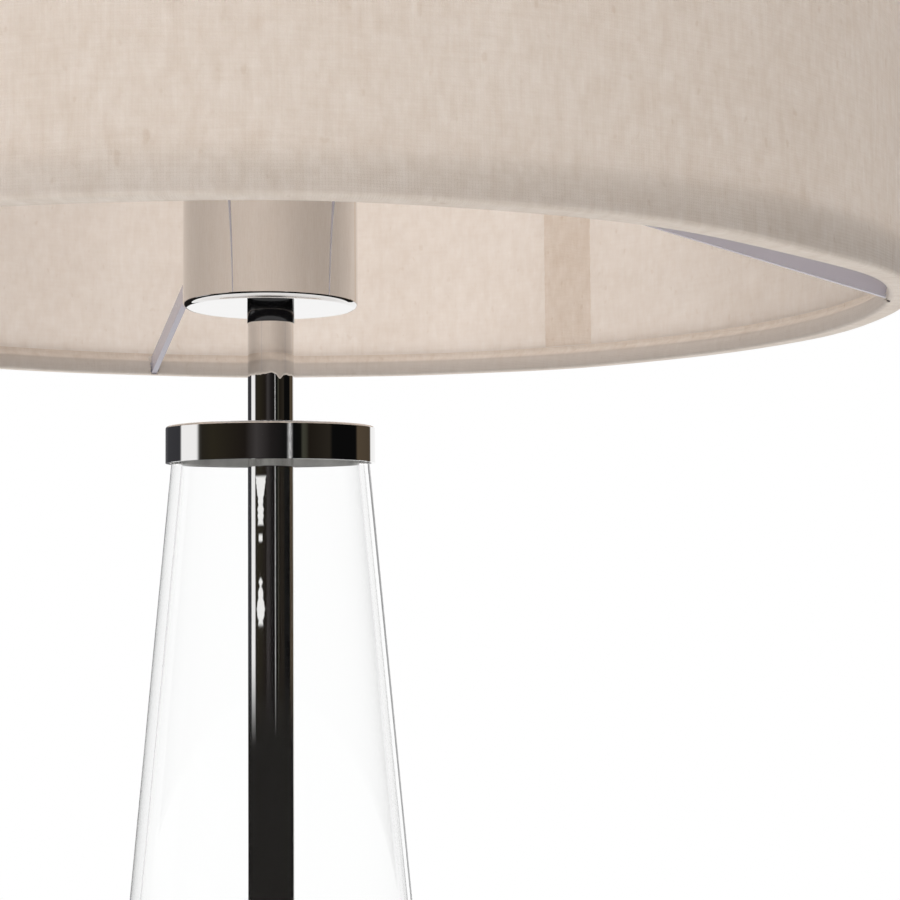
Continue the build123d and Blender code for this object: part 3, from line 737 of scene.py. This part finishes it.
@dataclass
class SpiderArms:
    """The carrier's three arms: their directions and the welds at their ends.

    A weld's place is its radius, the height of its foot and its length: at the ring and at the hem's wire.
    """

    azimuths: tuple[float, ...] = (-9.5, 110.5, 230.5)
    thickness: float = 1.8 * MM
    weld_places: tuple[Point3, ...] = (
        (27.15 * MM, 347.5 * MM, 1.5 * MM),
        (158.0 * MM, 301.4 * MM, 2.6 * MM),
    )
    weld: float = 1.3 * MM
    weld_rows: int = 7

    def directions(self) -> list[float]:
        """The arms' azimuths in radians."""
        return [math.radians(azimuth) for azimuth in self.azimuths]

    def _bead(self, built: bmesh.types.BMesh, start: Vector, end: Vector, luck: random.Random) -> None:
        """Adds one weld bead, a row of overlapping drops from start to end."""
        for row in range(self.weld_rows):
            share = (row + 0.5) / self.weld_rows
            place = start.lerp(end, share)
            size = self.weld * (0.42 + 0.14 * math.sin(math.pi * share)) * luck.uniform(0.92, 1.08)
            made = bmesh.ops.create_icosphere(built, subdivisions=3, radius=size)
            for vert in made["verts"]:
                vert.co += place

    def build(self, powder: Finish) -> None:
        """Adds the weld beads where each arm meets the ring in the middle and the hem's wire.

        Args:
            powder: The carrier's powder coat.
        """
        for number, azimuth in enumerate(self.directions(), start=1):
            luck = random.Random(40 + number)
            built = bmesh.new()
            out = Vector((math.cos(azimuth), math.sin(azimuth), 0))
            side = Vector((-out.y, out.x, 0)) * (self.thickness / 2 + 0.25 * MM)
            for way in (-1, 1):
                for radius, low, length in self.weld_places:
                    foot = out * radius + way * side + Vector((0, 0, low))
                    self._bead(built, foot, foot + Vector((0, 0, length)), luck)
            for face in built.faces:
                face.smooth = True
            mesh = finished(f"arm_welds_{number}", built)
            linked(mesh.name, mesh, powder, Body.SHADE)


@dataclass
class DrumShade:
    """The linen drum: cover with rolled hems, lining, seam and the frayed slots at the arms."""

    arms: SpiderArms
    radius: float = 162.5 * MM
    rim: float = 300.05 * MM
    height: float = 200.0 * MM
    wire_circle: float = 159.9 * MM
    hem_width: float = 5.9 * MM
    hem_corner: float = 1.0 * MM
    leg_radius: float = 160.2 * MM
    leg_foot: float = 6.3 * MM
    wire_shoulder: Point = (0.7 * MM, 4.3 * MM)
    wire_side: float = 2.9 * MM
    hem_top: float = 9.0 * MM
    turn_in: float = 7.5 * MM
    lining_radius: float = 161.05 * MM
    lining_start: float = 5.15 * MM
    seam_azimuth: float = math.radians(57.3)
    seam_width: float = 17.6 * MM
    seam_radius: float = 160.75 * MM
    seam_gap: float = 0.25 * MM
    segments: int = 600
    slot_half: float = 1.5 * MM
    slot_top: float = 306.6 * MM
    fray_threads: int = 26
    hem_step: float = 0.22 * MM
    ripple: float = 0.16 * MM
    droops: tuple[Point3, ...] = ((-40.0, 13.0, -1.65 * MM), (-85.0, 26.0, 0.5 * MM))

    def top(self) -> float:
        """Height of the upper rim."""
        return self.rim + self.height

    def cloth_height(self) -> float:
        """Length of the cloth from one turned-in edge to the other."""
        return sum(math.dist(one, two) for one, two in zip(self._profile(), self._profile()[1:]))

    def _azimuths(self) -> list[float]:
        """Azimuths of the cloth's columns, from the seam on, with closer ones round each arm's slot."""
        found = {round(self.seam_azimuth + TURN * step / self.segments, 9) for step in range(self.segments)}
        for direction in self.arms.directions():
            turned = self.seam_azimuth + (direction - self.seam_azimuth) % TURN
            half = self.slot_half / self.radius
            found = {a for a in found if abs(a - turned) > 1.6 * half}
            found |= {round(turned + half * share, 9) for share in (-1.5, -1.0, -0.5, 0.0, 0.5, 1.0, 1.5)}
        return sorted(found)

    def _hem(self) -> list[Point]:
        """Half section of the lower hem, with heights from the rim: its turned-in edge to the outer wall."""
        outer, inner, corner = self.radius, self.radius - self.hem_width, self.hem_corner
        shoulder_in, shoulder_height = self.wire_shoulder
        points = [(self.leg_radius, self.turn_in)]
        points += straight(points[-1], (self.leg_radius, self.leg_foot), 3)
        points += straight(points[-1], (inner + shoulder_in, shoulder_height), 4)
        points += straight(points[-1], (inner, self.wire_side), 2)
        points += straight(points[-1], (inner, corner), 2)
        points += arc((inner + corner, corner), corner, 180.0, 270.0, 6)[1:]
        points += straight(points[-1], (outer - corner, 0.0), 4)
        points += arc((outer - corner, corner), corner, 270.0, 360.0, 6)[1:]
        return points

    def _profile(self) -> list[Point]:
        """The cloth's half section, from inside the lower hem round its wire, up, and in again."""
        hem = self._hem()
        low = [(r, self.rim + z) for r, z in hem]
        high = [(r, self.top() - z) for r, z in reversed(hem)]
        foot, head = (self.radius, self.rim + self.hem_top), (self.radius, self.top() - self.hem_top)
        wall = straight(low[-1], foot, 8) + straight(foot, head, 46) + straight(head, high[0], 8)[:-1]
        return low + wall + high

    def _waves(self, angle: float, height: float) -> float:
        """How far the glued cloth stands off the true cylinder at a place."""
        slow = math.sin(5 * angle + 0.7) + 0.6 * math.sin(11 * angle + 2.1 + 9 * height)
        fast = 0.5 * math.sin(23 * angle + 30 * height) + 0.3 * math.sin(41 * angle + 1.3 - 22 * height)
        return self.ripple * (slow + fast) / 2.4

    def _droop(self, angle: float) -> float:
        """How far the lower rim stands above its plane: the hand-wrapped hem hangs lower on one side."""
        hung = 0.0
        for centre, width, rise in self.droops:
            apart = (math.degrees(angle) - centre + 180.0) % 360.0 - 180.0
            hung += rise * math.exp(-((apart / width) ** 2))
        return hung

    def _shift(self, profile: Sequence[Point]) -> Callable[[float, int], Point]:
        """The cloth's own unevenness: waves on the wall, and hems that press out a little."""

        def shift(angle: float, row: int) -> Point:
            """Radial and vertical shift of a point of the section."""
            r, z = profile[row]
            share = clamped((r - self.wire_circle) / (self.radius - self.wire_circle))
            from_rim = min(z - self.rim, self.top() - z)
            pressed = self.hem_step * (1 - clamped((from_rim - self.hem_top + 2.5 * MM) / (2.5 * MM)))
            sag = 0.08 * MM * math.sin(9 * angle + 1.9) + 0.04 * MM * math.sin(17 * angle + 0.4)
            low = z < self.rim + self.height / 2
            sag += self._droop(angle) if low else 0.0
            sag *= 1 - clamped(from_rim / (6.0 * MM))
            return share * (self._waves(angle, z) + pressed), sag if low else -sag

        return shift

    def _in_slot(self, profile: Sequence[Point]) -> Callable[[float, int], bool]:
        """Says which faces of the lower hem are cut away round the arms."""

        def cut(angle: float, row: int) -> bool:
            """Whether a face is in a slot."""
            if row + 1 >= len(profile):
                return False
            r = (profile[row][0] + profile[row + 1][0]) / 2
            z = (profile[row][1] + profile[row + 1][1]) / 2
            if r > self.leg_radius + 0.1 * MM or not z < self.slot_top:
                return False
            if z < self.rim + 0.4 * MM and r > self.radius - self.hem_width + self.hem_corner:
                return False
            aparts = ((angle - way + math.pi) % TURN - math.pi for way in self.arms.directions())
            return any(abs(apart) * self.radius < self.slot_half for apart in aparts)

        return cut

    def cover(self, linen: Finish) -> bpy.types.Object:
        """Builds the linen cover, one cloth with both hems turned in."""
        profile = self._profile()
        shift, leave_out = self._shift(profile), self._in_slot(profile)
        lathe = Lathe(profile, azimuths=self._azimuths(), shift=shift, leave_out=leave_out)
        return lathe.piece("linen_cover", linen, Body.SHADE)

    def lining(self, film: Finish) -> bpy.types.Object:
        """Builds the lining, which ends inside the hems."""
        foot = (self.lining_radius, self.rim + self.lining_start)
        head = (self.lining_radius, self.top() - self.lining_start)
        points = [foot] + straight(foot, head, 40)

        def shift(angle: float, row: int) -> Point:
            """The lining follows the cloth's waves at 0.4 of their depth."""
            return 0.4 * self._waves(angle, points[row][1]) - 0.05 * MM, 0.0

        lathe = Lathe(points, azimuths=self._azimuths(), shift=shift)
        return lathe.piece("lining_film", film, Body.SHADE)

    def seam(self, linen: Finish) -> bpy.types.Object:
        """Builds the strip of linen over the joint, with a slightly frayed edge."""
        luck = random.Random(7)
        half = self.seam_width / 2 / self.seam_radius
        low, high = self.rim + self.turn_in + self.seam_gap, self.top() - self.turn_in - self.seam_gap
        rows, columns = 180, 12
        built = bmesh.new()
        cloth = built.loops.layers.uv.new("Cloth")
        grid = []
        for row in range(rows + 1):
            z = low + (high - low) * row / rows
            edges = [luck.uniform(-0.12, 0.12) * MM / self.seam_radius for _ in range(2)]
            line = []
            for column in range(columns + 1):
                share = 2 * column / columns - 1
                angle = self.seam_azimuth + share * half + edges[column > columns / 2] * abs(share) ** 6
                r = self.seam_radius - 0.06 * MM * (1 - share**4) - 0.05 * MM * math.sin(60 * z)
                line.append(built.verts.new((r * math.cos(angle), r * math.sin(angle), z)))
            grid.append(line)
        for row in range(rows):
            for column in range(columns):
                corners = [(row, column), (row, column + 1), (row + 1, column + 1), (row + 1, column)]
                face = built.faces.new([grid[i][j] for i, j in corners])
                face.smooth = True
                for loop, (i, j) in zip(face.loops, corners):
                    loop[cloth].uv = (self.seam_width * j / columns, (high - low) * i / rows)
        return linked("linen_seam", finished("linen_seam", built), linen, Body.SHADE)

    def fraying(self, yarn: Finish) -> list[bpy.types.Object]:
        """Builds the loose threads round each arm's slot."""
        made = []
        for number, direction in enumerate(self.arms.directions(), start=1):
            luck = random.Random(90 + number)
            paths = []
            for _ in range(self.fray_threads):
                side = luck.choice((-1, 1))
                root_r, root_z = luck.choice(self._hem()[2:15])
                root_z += self.rim + self._droop(direction) * max(1 - root_z / (6 * MM), 0.0)
                across = side * (self.slot_half + luck.uniform(-0.1, 0.5) * MM)
                reach = luck.uniform(0.5, 1.7) * MM
                inward = luck.uniform(0.1, 0.7) * MM
                droop = luck.uniform(-0.9, 0.5) * MM
                path = []
                for step in range(6):
                    share = step / 5
                    r = root_r - inward * share
                    away = across - side * reach * share * (1 - 0.35 * share)
                    z = root_z + droop * share**2
                    c, s = math.cos(direction), math.sin(direction)
                    path.append(Vector((r * c - away * s, r * s + away * c, z)))
                paths.append(path)
            mesh = strands(f"hem_fray_{number}", paths, 0.09 * MM)
            made.append(linked(mesh.name, mesh, yarn, Body.SHADE))
        return made

    def build(self, linen: Finish, strip: Finish, film: Finish, yarn: Finish) -> None:
        """Args:
            linen: The cover's finish.
            strip: The seam's finish, where the cloth lies double.
            film: The lining's finish.
            yarn: The loose threads' finish.
        """
        cover = self.cover(linen)
        lining = self.lining(film)
        seam = self.seam(strip)
        frays = self.fraying(yarn)
        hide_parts("shade_cover", "lower_hem", "upper_hem")
        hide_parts("shade_lining")
        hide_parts("seam_strip")
        cloth = (TURN * self.radius, self.cloth_height())


@dataclass(frozen=True)
class Thread:
    """A rolled thread: its two ends' heights, its pitch and its depth."""

    low: float
    high: float
    pitch: float
    depth: float

    def heights(self, rows: int) -> list[float]:
        """Heights that divide the thread into rows."""
        return [self.low + (self.high - self.low) * row / rows for row in range(rows + 1)]

    def ridge(self, angle: float, z: float) -> float:
        """1 on the thread's ridge and -1 in its groove."""
        return math.cos(TURN * (z - self.low) / self.pitch - angle)

    def rolled(self, angle: float, z: float, fade: float) -> float:
        """How far the wall stands out; 1 / fade of the thread's length runs out at each end."""
        share = (z - self.low) / (self.high - self.low)
        return self.depth * clamped(fade * min(share, 1 - share)) * self.ridge(angle, z)


@dataclass
class Lampholder:
    """The threaded skirt above the cup, the brass shell in it and the bush under the cup."""

    skirt_radius: float = 19.6 * MM
    skirt_thread: Thread = Thread(347.6 * MM, 363.4 * MM, 2.0 * MM, 0.16 * MM)
    shell_radius: float = 13.85 * MM
    shell_thread: Thread = Thread(335.2 * MM, 357.2 * MM, 3.63 * MM, 0.32 * MM)
    shell_half_wall: float = 0.2 * MM
    bush_radius: float = 6.12 * MM
    bush_bore: float = 5.9 * MM
    bush_chamfer: float = 0.1 * MM
    bush_low: float = 298.9 * MM
    bush_high: float = 302.68 * MM

    def thread(self, plastic: Finish) -> None:
        """Builds the outer thread of the skirt."""
        rows = 64
        thread, inner = self.skirt_thread, self.skirt_radius - 0.5 * MM
        section = [(self.skirt_radius + 0.01 * MM, z) for z in thread.heights(rows)]
        section += [(inner, thread.high), (inner, thread.low)]

        def shift(angle: float, row: int) -> Point:
            """Height of the thread's ridge at a place."""
            if row > rows:
                return 0.0, 0.0
            ends = math.sin(math.pi * row / rows) ** 0.4
            return thread.depth * ends * max(thread.ridge(angle, section[row][1]), -0.2) ** 2, 0.0

        Lathe(section, 120, True, shift=shift).piece("skirt_thread", plastic, Body.STAND)

    def screw_shell(self, brass: Finish) -> None:
        """Builds the rolled brass shell that takes the bulb."""
        heights = self.shell_thread.heights(60)
        section = [(self.shell_radius + self.shell_half_wall, z) for z in heights]
        section += [(self.shell_radius - self.shell_half_wall, z) for z in reversed(heights)]

        def shift(angle: float, row: int) -> Point:
            """Depth of the rolled groove at a place."""
            return self.shell_thread.rolled(angle, section[row][1], 5), 0.0

        shell = Lathe(section, 96, True, shift=shift).piece("rolled_shell", brass, Body.STAND)
        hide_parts("screw_shell")

    def bush(self, black: Finish) -> None:
        """Builds the thin black bush between the stem's end and the cup."""
        section = [
            (self.bush_bore, self.bush_low),
            (self.bush_radius - self.bush_chamfer, self.bush_low),
            (self.bush_radius, self.bush_low + self.bush_chamfer),
            (self.bush_radius, self.bush_high),
            (self.bush_bore, self.bush_high),
        ]
        Lathe(section, 128, True).piece("stem_bush", black, Body.STAND)

    def build(self, plastic: Finish, brass: Finish, black: Finish) -> None:
        """Builds the lampholder's details.

        Args:
            plastic: The skirt's finish.
            brass: The screw shell's finish.
            black: The bush's finish.
        """
        self.thread(plastic)
        self.screw_shell(brass)
        self.bush(black)


@dataclass
class NeckSleeve:
    """The milky sleeve that centres the cap ring on the glass neck."""

    low: float = 262.45 * MM
    high: float = 269.0 * MM
    outer: float = 26.1 * MM
    inner_low: float = 25.68 * MM
    inner_high: float = 25.08 * MM

    def build(self, nylon: Finish) -> None:
        """Builds the sleeve.

        Args:
            nylon: The sleeve's finish.
        """
        bottom = [(self.inner_low, self.low), (self.outer, self.low)]
        top = [(self.outer, self.high), (self.inner_high, self.high)]
        Lathe(bottom + top, 192, True).piece("cap_sleeve", nylon, Body.STAND)


@dataclass
class FilamentBulb:
    """The bulb's rolled cap."""

    cap_low: float = 343.15 * MM
    cap_high: float = 362.15 * MM
    thread: Thread = Thread(345.6 * MM, 358.2 * MM, 3.63 * MM, 0.34 * MM)
    radius: float = 12.75 * MM
    sheet: float = 0.35 * MM

    def build(self, nickel: Finish) -> None:
        """Builds the rolled cap.

        Args:
            nickel: The cap's finish.
        """
        thread = self.thread
        outer = [
            (10.0 * MM, self.cap_low),
            (11.2 * MM, self.cap_low + 0.35 * MM),
            (12.2 * MM, self.cap_low + 1.2 * MM),
            *((self.radius, z) for z in thread.heights(60)),
            (12.85 * MM, thread.high + 0.8 * MM),
            (12.95 * MM, self.cap_high - 0.5 * MM),
            (13.15 * MM, self.cap_high),
        ]
        inner = [(r - self.sheet, z + (0.3 * MM if z < thread.low else 0.0)) for r, z in reversed(outer)]
        section = outer + inner

        def shift(angle: float, row: int) -> Point:
            """Depth of the rolled thread at a place."""
            return thread.rolled(angle, section[row][1], 6), 0.0

        cap = Lathe(section, 96, True, shift=shift).piece("rolled_cap", nickel, Body.BULB)
        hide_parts("bulb_cap")


@dataclass
class BaseFelt:
    """The felt pad under the base."""

    radius: float = 63.2 * MM
    thickness: float = 1.5 * MM

    def build(self, felt: Finish) -> None:
        """Builds the pad with a soft cut edge.

        Args:
            felt: The felt's finish.
        """
        steps = [0.12, 0.3, 0.5, 0.7, 0.88, 0.97]
        bottom = [(self.radius * share, 0.0) for share in steps]
        edge = [
            (self.radius - 0.35 * MM, 0.0),
            (self.radius - 0.08 * MM, 0.3 * MM),
            (self.radius, 0.8 * MM),
            (self.radius - 0.05 * MM, 1.25 * MM),
            (self.radius - 0.3 * MM, self.thickness),
        ]
        top = [(self.radius * share, self.thickness) for share in reversed(steps)]
        section = [(0.0, 0.0)] + bottom + edge + top + [(0.0, self.thickness)]

        def shift(angle: float, row: int) -> Point:
            """The cut edge's small unevenness."""
            r, z = section[row]
            if r < 0.99 * self.radius:
                return 0.0, 0.0
            return 0.07 * MM * math.sin(37 * angle + 900 * z) + 0.05 * MM * math.sin(91 * angle), 0.0

        piece = Lathe(section, 240, shift=shift).piece("felt_disc", felt, Body.STAND)
        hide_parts("felt_pad")


# ---------------------------------------------------------------- studio


@dataclass
class Studio:
    """The camera, the white sweep, the soft light and the dark room that polished metal mirrors.

    The room's walls are colours at azimuths in degrees, with bright windows between the dark stretches.
    """

    camera_place: Point3 = (0.046594, -0.4596, 0.2411)
    camera_tilt: float = 0.053
    camera_roll: float = -0.007
    lens: float = 70.712
    floor_radius: float = 0.70
    floor_colour: Colour = (0.86, 0.86, 0.855)
    lamp_place: Point3 = (-0.15, -0.25, 1.5)
    lamp_aim: Point3 = (0.0, 0.0, 0.35)
    lamp_side: float = 0.9
    lamp_power: float = 5.0
    lamp_colour: Colour = (1.0, 0.985, 0.965)
    front_light: Colour = (1.12, 1.085, 1.07)
    back_light: Colour = (1.54, 1.52, 1.52)
    right_light: Colour = (0.02, 0.019, 0.018)
    left_light: Colour = (0.1, 0.097, 0.097)
    room_floor: Colour = (0.012, 0.011, 0.010)
    ceiling_front: Colour = (0.16, 0.155, 0.15)
    ceiling_back: Colour = (0.75, 0.75, 0.76)
    slats: Colour = (0.02, 0.02, 0.02)
    walls: tuple[tuple[float, Colour], ...] = (
        (-172.0, WHITE),
        (-168.0, (0.05, 0.047, 0.042)),
        (-164.0, (0.022, 0.019, 0.014)),
        (-150.0, (0.026, 0.022, 0.014)),
        (-112.0, (0.014, 0.011, 0.009)),
        (-100.0, (0.05, 0.045, 0.045)),
        (-84.0, (0.016, 0.014, 0.014)),
        (-66.5, (0.006, 0.006, 0.006)),
        (-65.5, (0.80, 0.80, 0.80)),
        (-62.5, (0.80, 0.80, 0.80)),
        (-61.5, (0.004, 0.004, 0.004)),
        (-52.0, (0.006, 0.006, 0.005)),
        (-50.0, (0.055, 0.056, 0.042)),
        (-46.0, (0.045, 0.044, 0.032)),
        (-43.0, (0.014, 0.011, 0.008)),
        (-18.0, (0.024, 0.020, 0.015)),
        (-14.0, (0.004, 0.004, 0.004)),
        (22.0, (0.004, 0.004, 0.004)),
        (25.0, (0.088, 0.066, 0.043)),
        (55.0, (0.072, 0.054, 0.036)),
        (58.0, WHITE),
        (94.0, WHITE),
        (98.0, (0.16, 0.16, 0.17)),
        (126.0, (0.045, 0.045, 0.05)),
        (160.0, (0.04, 0.04, 0.045)),
        (163.0, WHITE),
    )

    def camera(self) -> None:
        """Places the camera at the photograph's viewing angle."""
        data = bpy.data.cameras.new("view")
        data.lens = self.lens
        data.sensor_width = 36.0
        data.clip_start = 0.01
        data.dof.use_dof = False
        camera = bpy.data.objects.new("view", data)
        tilt = Matrix.Rotation(math.pi / 2 + self.camera_tilt, 4, "X")
        roll = Matrix.Rotation(self.camera_roll, 4, "Z")
        camera.matrix_world = Matrix.Translation(self.camera_place) @ (tilt @ roll)
        bpy.context.scene.collection.objects.link(camera)
        bpy.context.scene.camera = camera

    def floor(self) -> None:
        """Makes the pale floor: real shadows near the lamp, fading to white further out."""
        material = bpy.data.materials.new("sweep")
        board = Board(material)
        place = board.place()
        flat = board.stretched(place, (1.0, 1.0, 0.0))
        away = board.node("ShaderNodeVectorMath", {"operation": "LENGTH"}, {0: flat}, "Value")
        normal = board.bump(board.noise(place, 400.0), 0.0001)
        paper = board.principled(Base_Color=self.floor_colour, Roughness=0.8, Normal=normal)
        light = board.node("ShaderNodeEmission", sockets={0: (*WHITE, 1.0), 1: 1.0})
        fade = 0.6 * self.floor_radius
        board.end(board.mixed(away.above(fade, fade), paper, light))
        section = [(0.0, 0.0)] + straight((0.0, 0.0), (self.floor_radius, 0.0), 12)
        mesh = Lathe(section, 128).mesh("sweep")
        mesh.materials.append(material)
        floor = bpy.data.objects.new("sweep", mesh)
        floor.location.z = -0.0002
        bpy.context.scene.collection.objects.link(floor)

    def lamp(self) -> None:
        """Hangs the square soft lamp, which metal and glass don't show."""
        data = bpy.data.lights.new("overhead", "AREA")
        data.shape = "SQUARE"
        data.size = self.lamp_side
        data.energy = self.lamp_power
        data.color = self.lamp_colour
        lamp = bpy.data.objects.new("overhead", data)
        lamp.location = self.lamp_place
        ahead = Vector(self.lamp_aim) - Vector(self.lamp_place)
        lamp.rotation_euler = ahead.to_track_quat("-Z", "Y").to_euler()
        lamp.visible_glossy = False
        lamp.visible_transmission = False
        bpy.context.scene.collection.objects.link(lamp)

    @staticmethod
    def _glints(board: Board, azimuth: Signal, z: Signal) -> Signal:
        """Masks the ragged wedge, speck and spindle of light that the stem mirrors.

        Args:
            board: The world's node tree.
            azimuth: The ray's azimuth, as a share of a turn.
            z: The ray's direction along Z.

        Returns:
            1 in the glints.
        """
        ragged = board.noise(board.vector(z, 4.0, 0.0), 320.0, 2.0) * 0.09 - 0.045
        away = abs(azimuth - 0.116) + ragged
        wedge = 0.04 + 0.035 * z.above(0.0315, 0.014)
        spindle = 0.058 - 2.7 * abs(z + 0.0357)
        shown = (wedge - away).above(0.0, 0.008) * z.between(0.0115, 0.0385, 0.002)
        shown += (0.03 - away).above(0.0, 0.008) * z.between(0.002, 0.006, 0.002)
        return shown + (spindle - away).above(0.0, 0.008) * z.between(-0.0446, -0.018, 0.003)

    def _room(self, board: Board, x: Signal, y: Signal, z: Signal) -> Signal:
        """Paints the dark room that polished metal mirrors.

        Args:
            board: The world's node tree.
            x: The ray's direction along X.
            y: The ray's direction along Y.
            z: The ray's direction along Z.

        Returns:
            The room's colour.
        """
        azimuth = y.maths("ARCTAN2", x) / TURN + 0.5
        stops = [((angle + 180.0) / 360.0, colour) for angle, colour in self.walls]
        walls = board.node("ShaderNodeValToRGB", {"stops": stops}, {0: azimuth})
        blinds = board.noise(board.vector(0.0, azimuth * 8.0, z), 260.0, 2.0).above(0.52, 0.1)
        window = azimuth.between(0.31, 0.331, 0.002)
        walls = board.blend(window * blinds * 0.9, walls, self.slats)
        walls = board.blend(self._glints(board, azimuth, z), walls, WHITE)
        floor = board.blend(azimuth.between(0.655, 0.789, 0.008), self.room_floor, WHITE)
        ceiling = board.blend(y.above(0.0, 0.25), self.ceiling_front, self.ceiling_back)
        room = board.blend(1 - z.above(-0.085, 0.06), walls, floor)
        return board.blend(z.above(0.5, 0.35), room, ceiling)

    def _soft_light(self, board: Board, x: Signal, y: Signal) -> Signal:
        """Paints the light on the lamp, which comes from in front and behind and hardly from its sides.

        Args:
            board: The world's node tree.
            x: The ray's direction along X.
            y: The ray's direction along Y.

        Returns:
            The light's colour.
        """
        light = board.blend(y.above(0.25, 1.2), self.front_light, self.back_light)
        right = x.above(0.34, 0.6) * (1 - y.above(0.4, 0.7)) * y.above(-0.8, 0.4)
        light = board.blend(right, light, self.right_light)
        left = (1 - x.above(-0.65, 0.4)) * y.above(-0.3, 0.5)
        return board.blend(0.9 * left, light, self.left_light)

    def world(self) -> None:
        """Makes the world: white to the camera and through glass, the room in mirrors, else soft light."""
        world = bpy.data.worlds.new("studio")
        bpy.context.scene.world = world
        board = Board(world)
        way = board.node("ShaderNodeTexCoord", output="Generated")
        x, y, z = (board.part(way, axis) for axis in "XYZ")
        sharp = 1 - board.ray("Is Diffuse Ray")
        crossed = board.ray("Transmission Depth").between(0.5, 2.5, 0.2)
        mirrored = board.ray("Glossy Depth").above(0.5, 0.2) * sharp * (1 - crossed)
        through = board.ray("Is Transmission Ray") * sharp * (1 - mirrored)
        white = board.ray("Is Camera Ray").maths("MAXIMUM", through)
        looks = board.blend(mirrored, self._soft_light(board, x, y), self._room(board, x, y, z))
        looks = board.blend(white, looks, WHITE)
        board.end(board.node("ShaderNodeBackground", sockets={0: looks, 1: 1.0}))

    def build(self) -> None:
        """Sets up the whole studio."""
        self.camera()
        self.floor()
        self.lamp()
        self.world()
        bpy.context.scene.view_settings.view_transform = "Standard"


def dress(frame: dict[str, Any], palette: dict[str, Finish]) -> None:
    """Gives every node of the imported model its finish.

    Args:
        palette: Slot name to finish.
    """
    for part in frame["record"]["subparts"]:
        node = frame["nodes"][part["node"]]
        material = palette[part["material_slot"]].material()
        if not node.material_slots:
            LOG.warning("%s has no material slot", node.name)
        for slot in node.material_slots:
            slot.material = material


def main() -> None:
    """Builds the lamp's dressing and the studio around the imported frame."""
    logging.basicConfig(level=logging.INFO, format="%(name)s: %(message)s")
    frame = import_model()
    Studio().build()
    arms = SpiderArms()
    shade = DrumShade(arms)
    palette = finishes(shade.cloth_height())
    dress(frame, palette)
    arms.build(palette["white_powder"])
    shade.build(palette["linen"], palette["linen.strip"], palette["lining"], palette["linen.yarn"])
    Lampholder().build(palette["white_plastic"], palette["brass"], palette["black_vitrite.bush"])
    NeckSleeve().build(palette["white_nylon.sleeve"])
    FilamentBulb().build(palette["nickel"])
    BaseFelt().build(palette["felt"])
    bpy.context.view_layer.update()


if __name__ == "__main__":
    main()
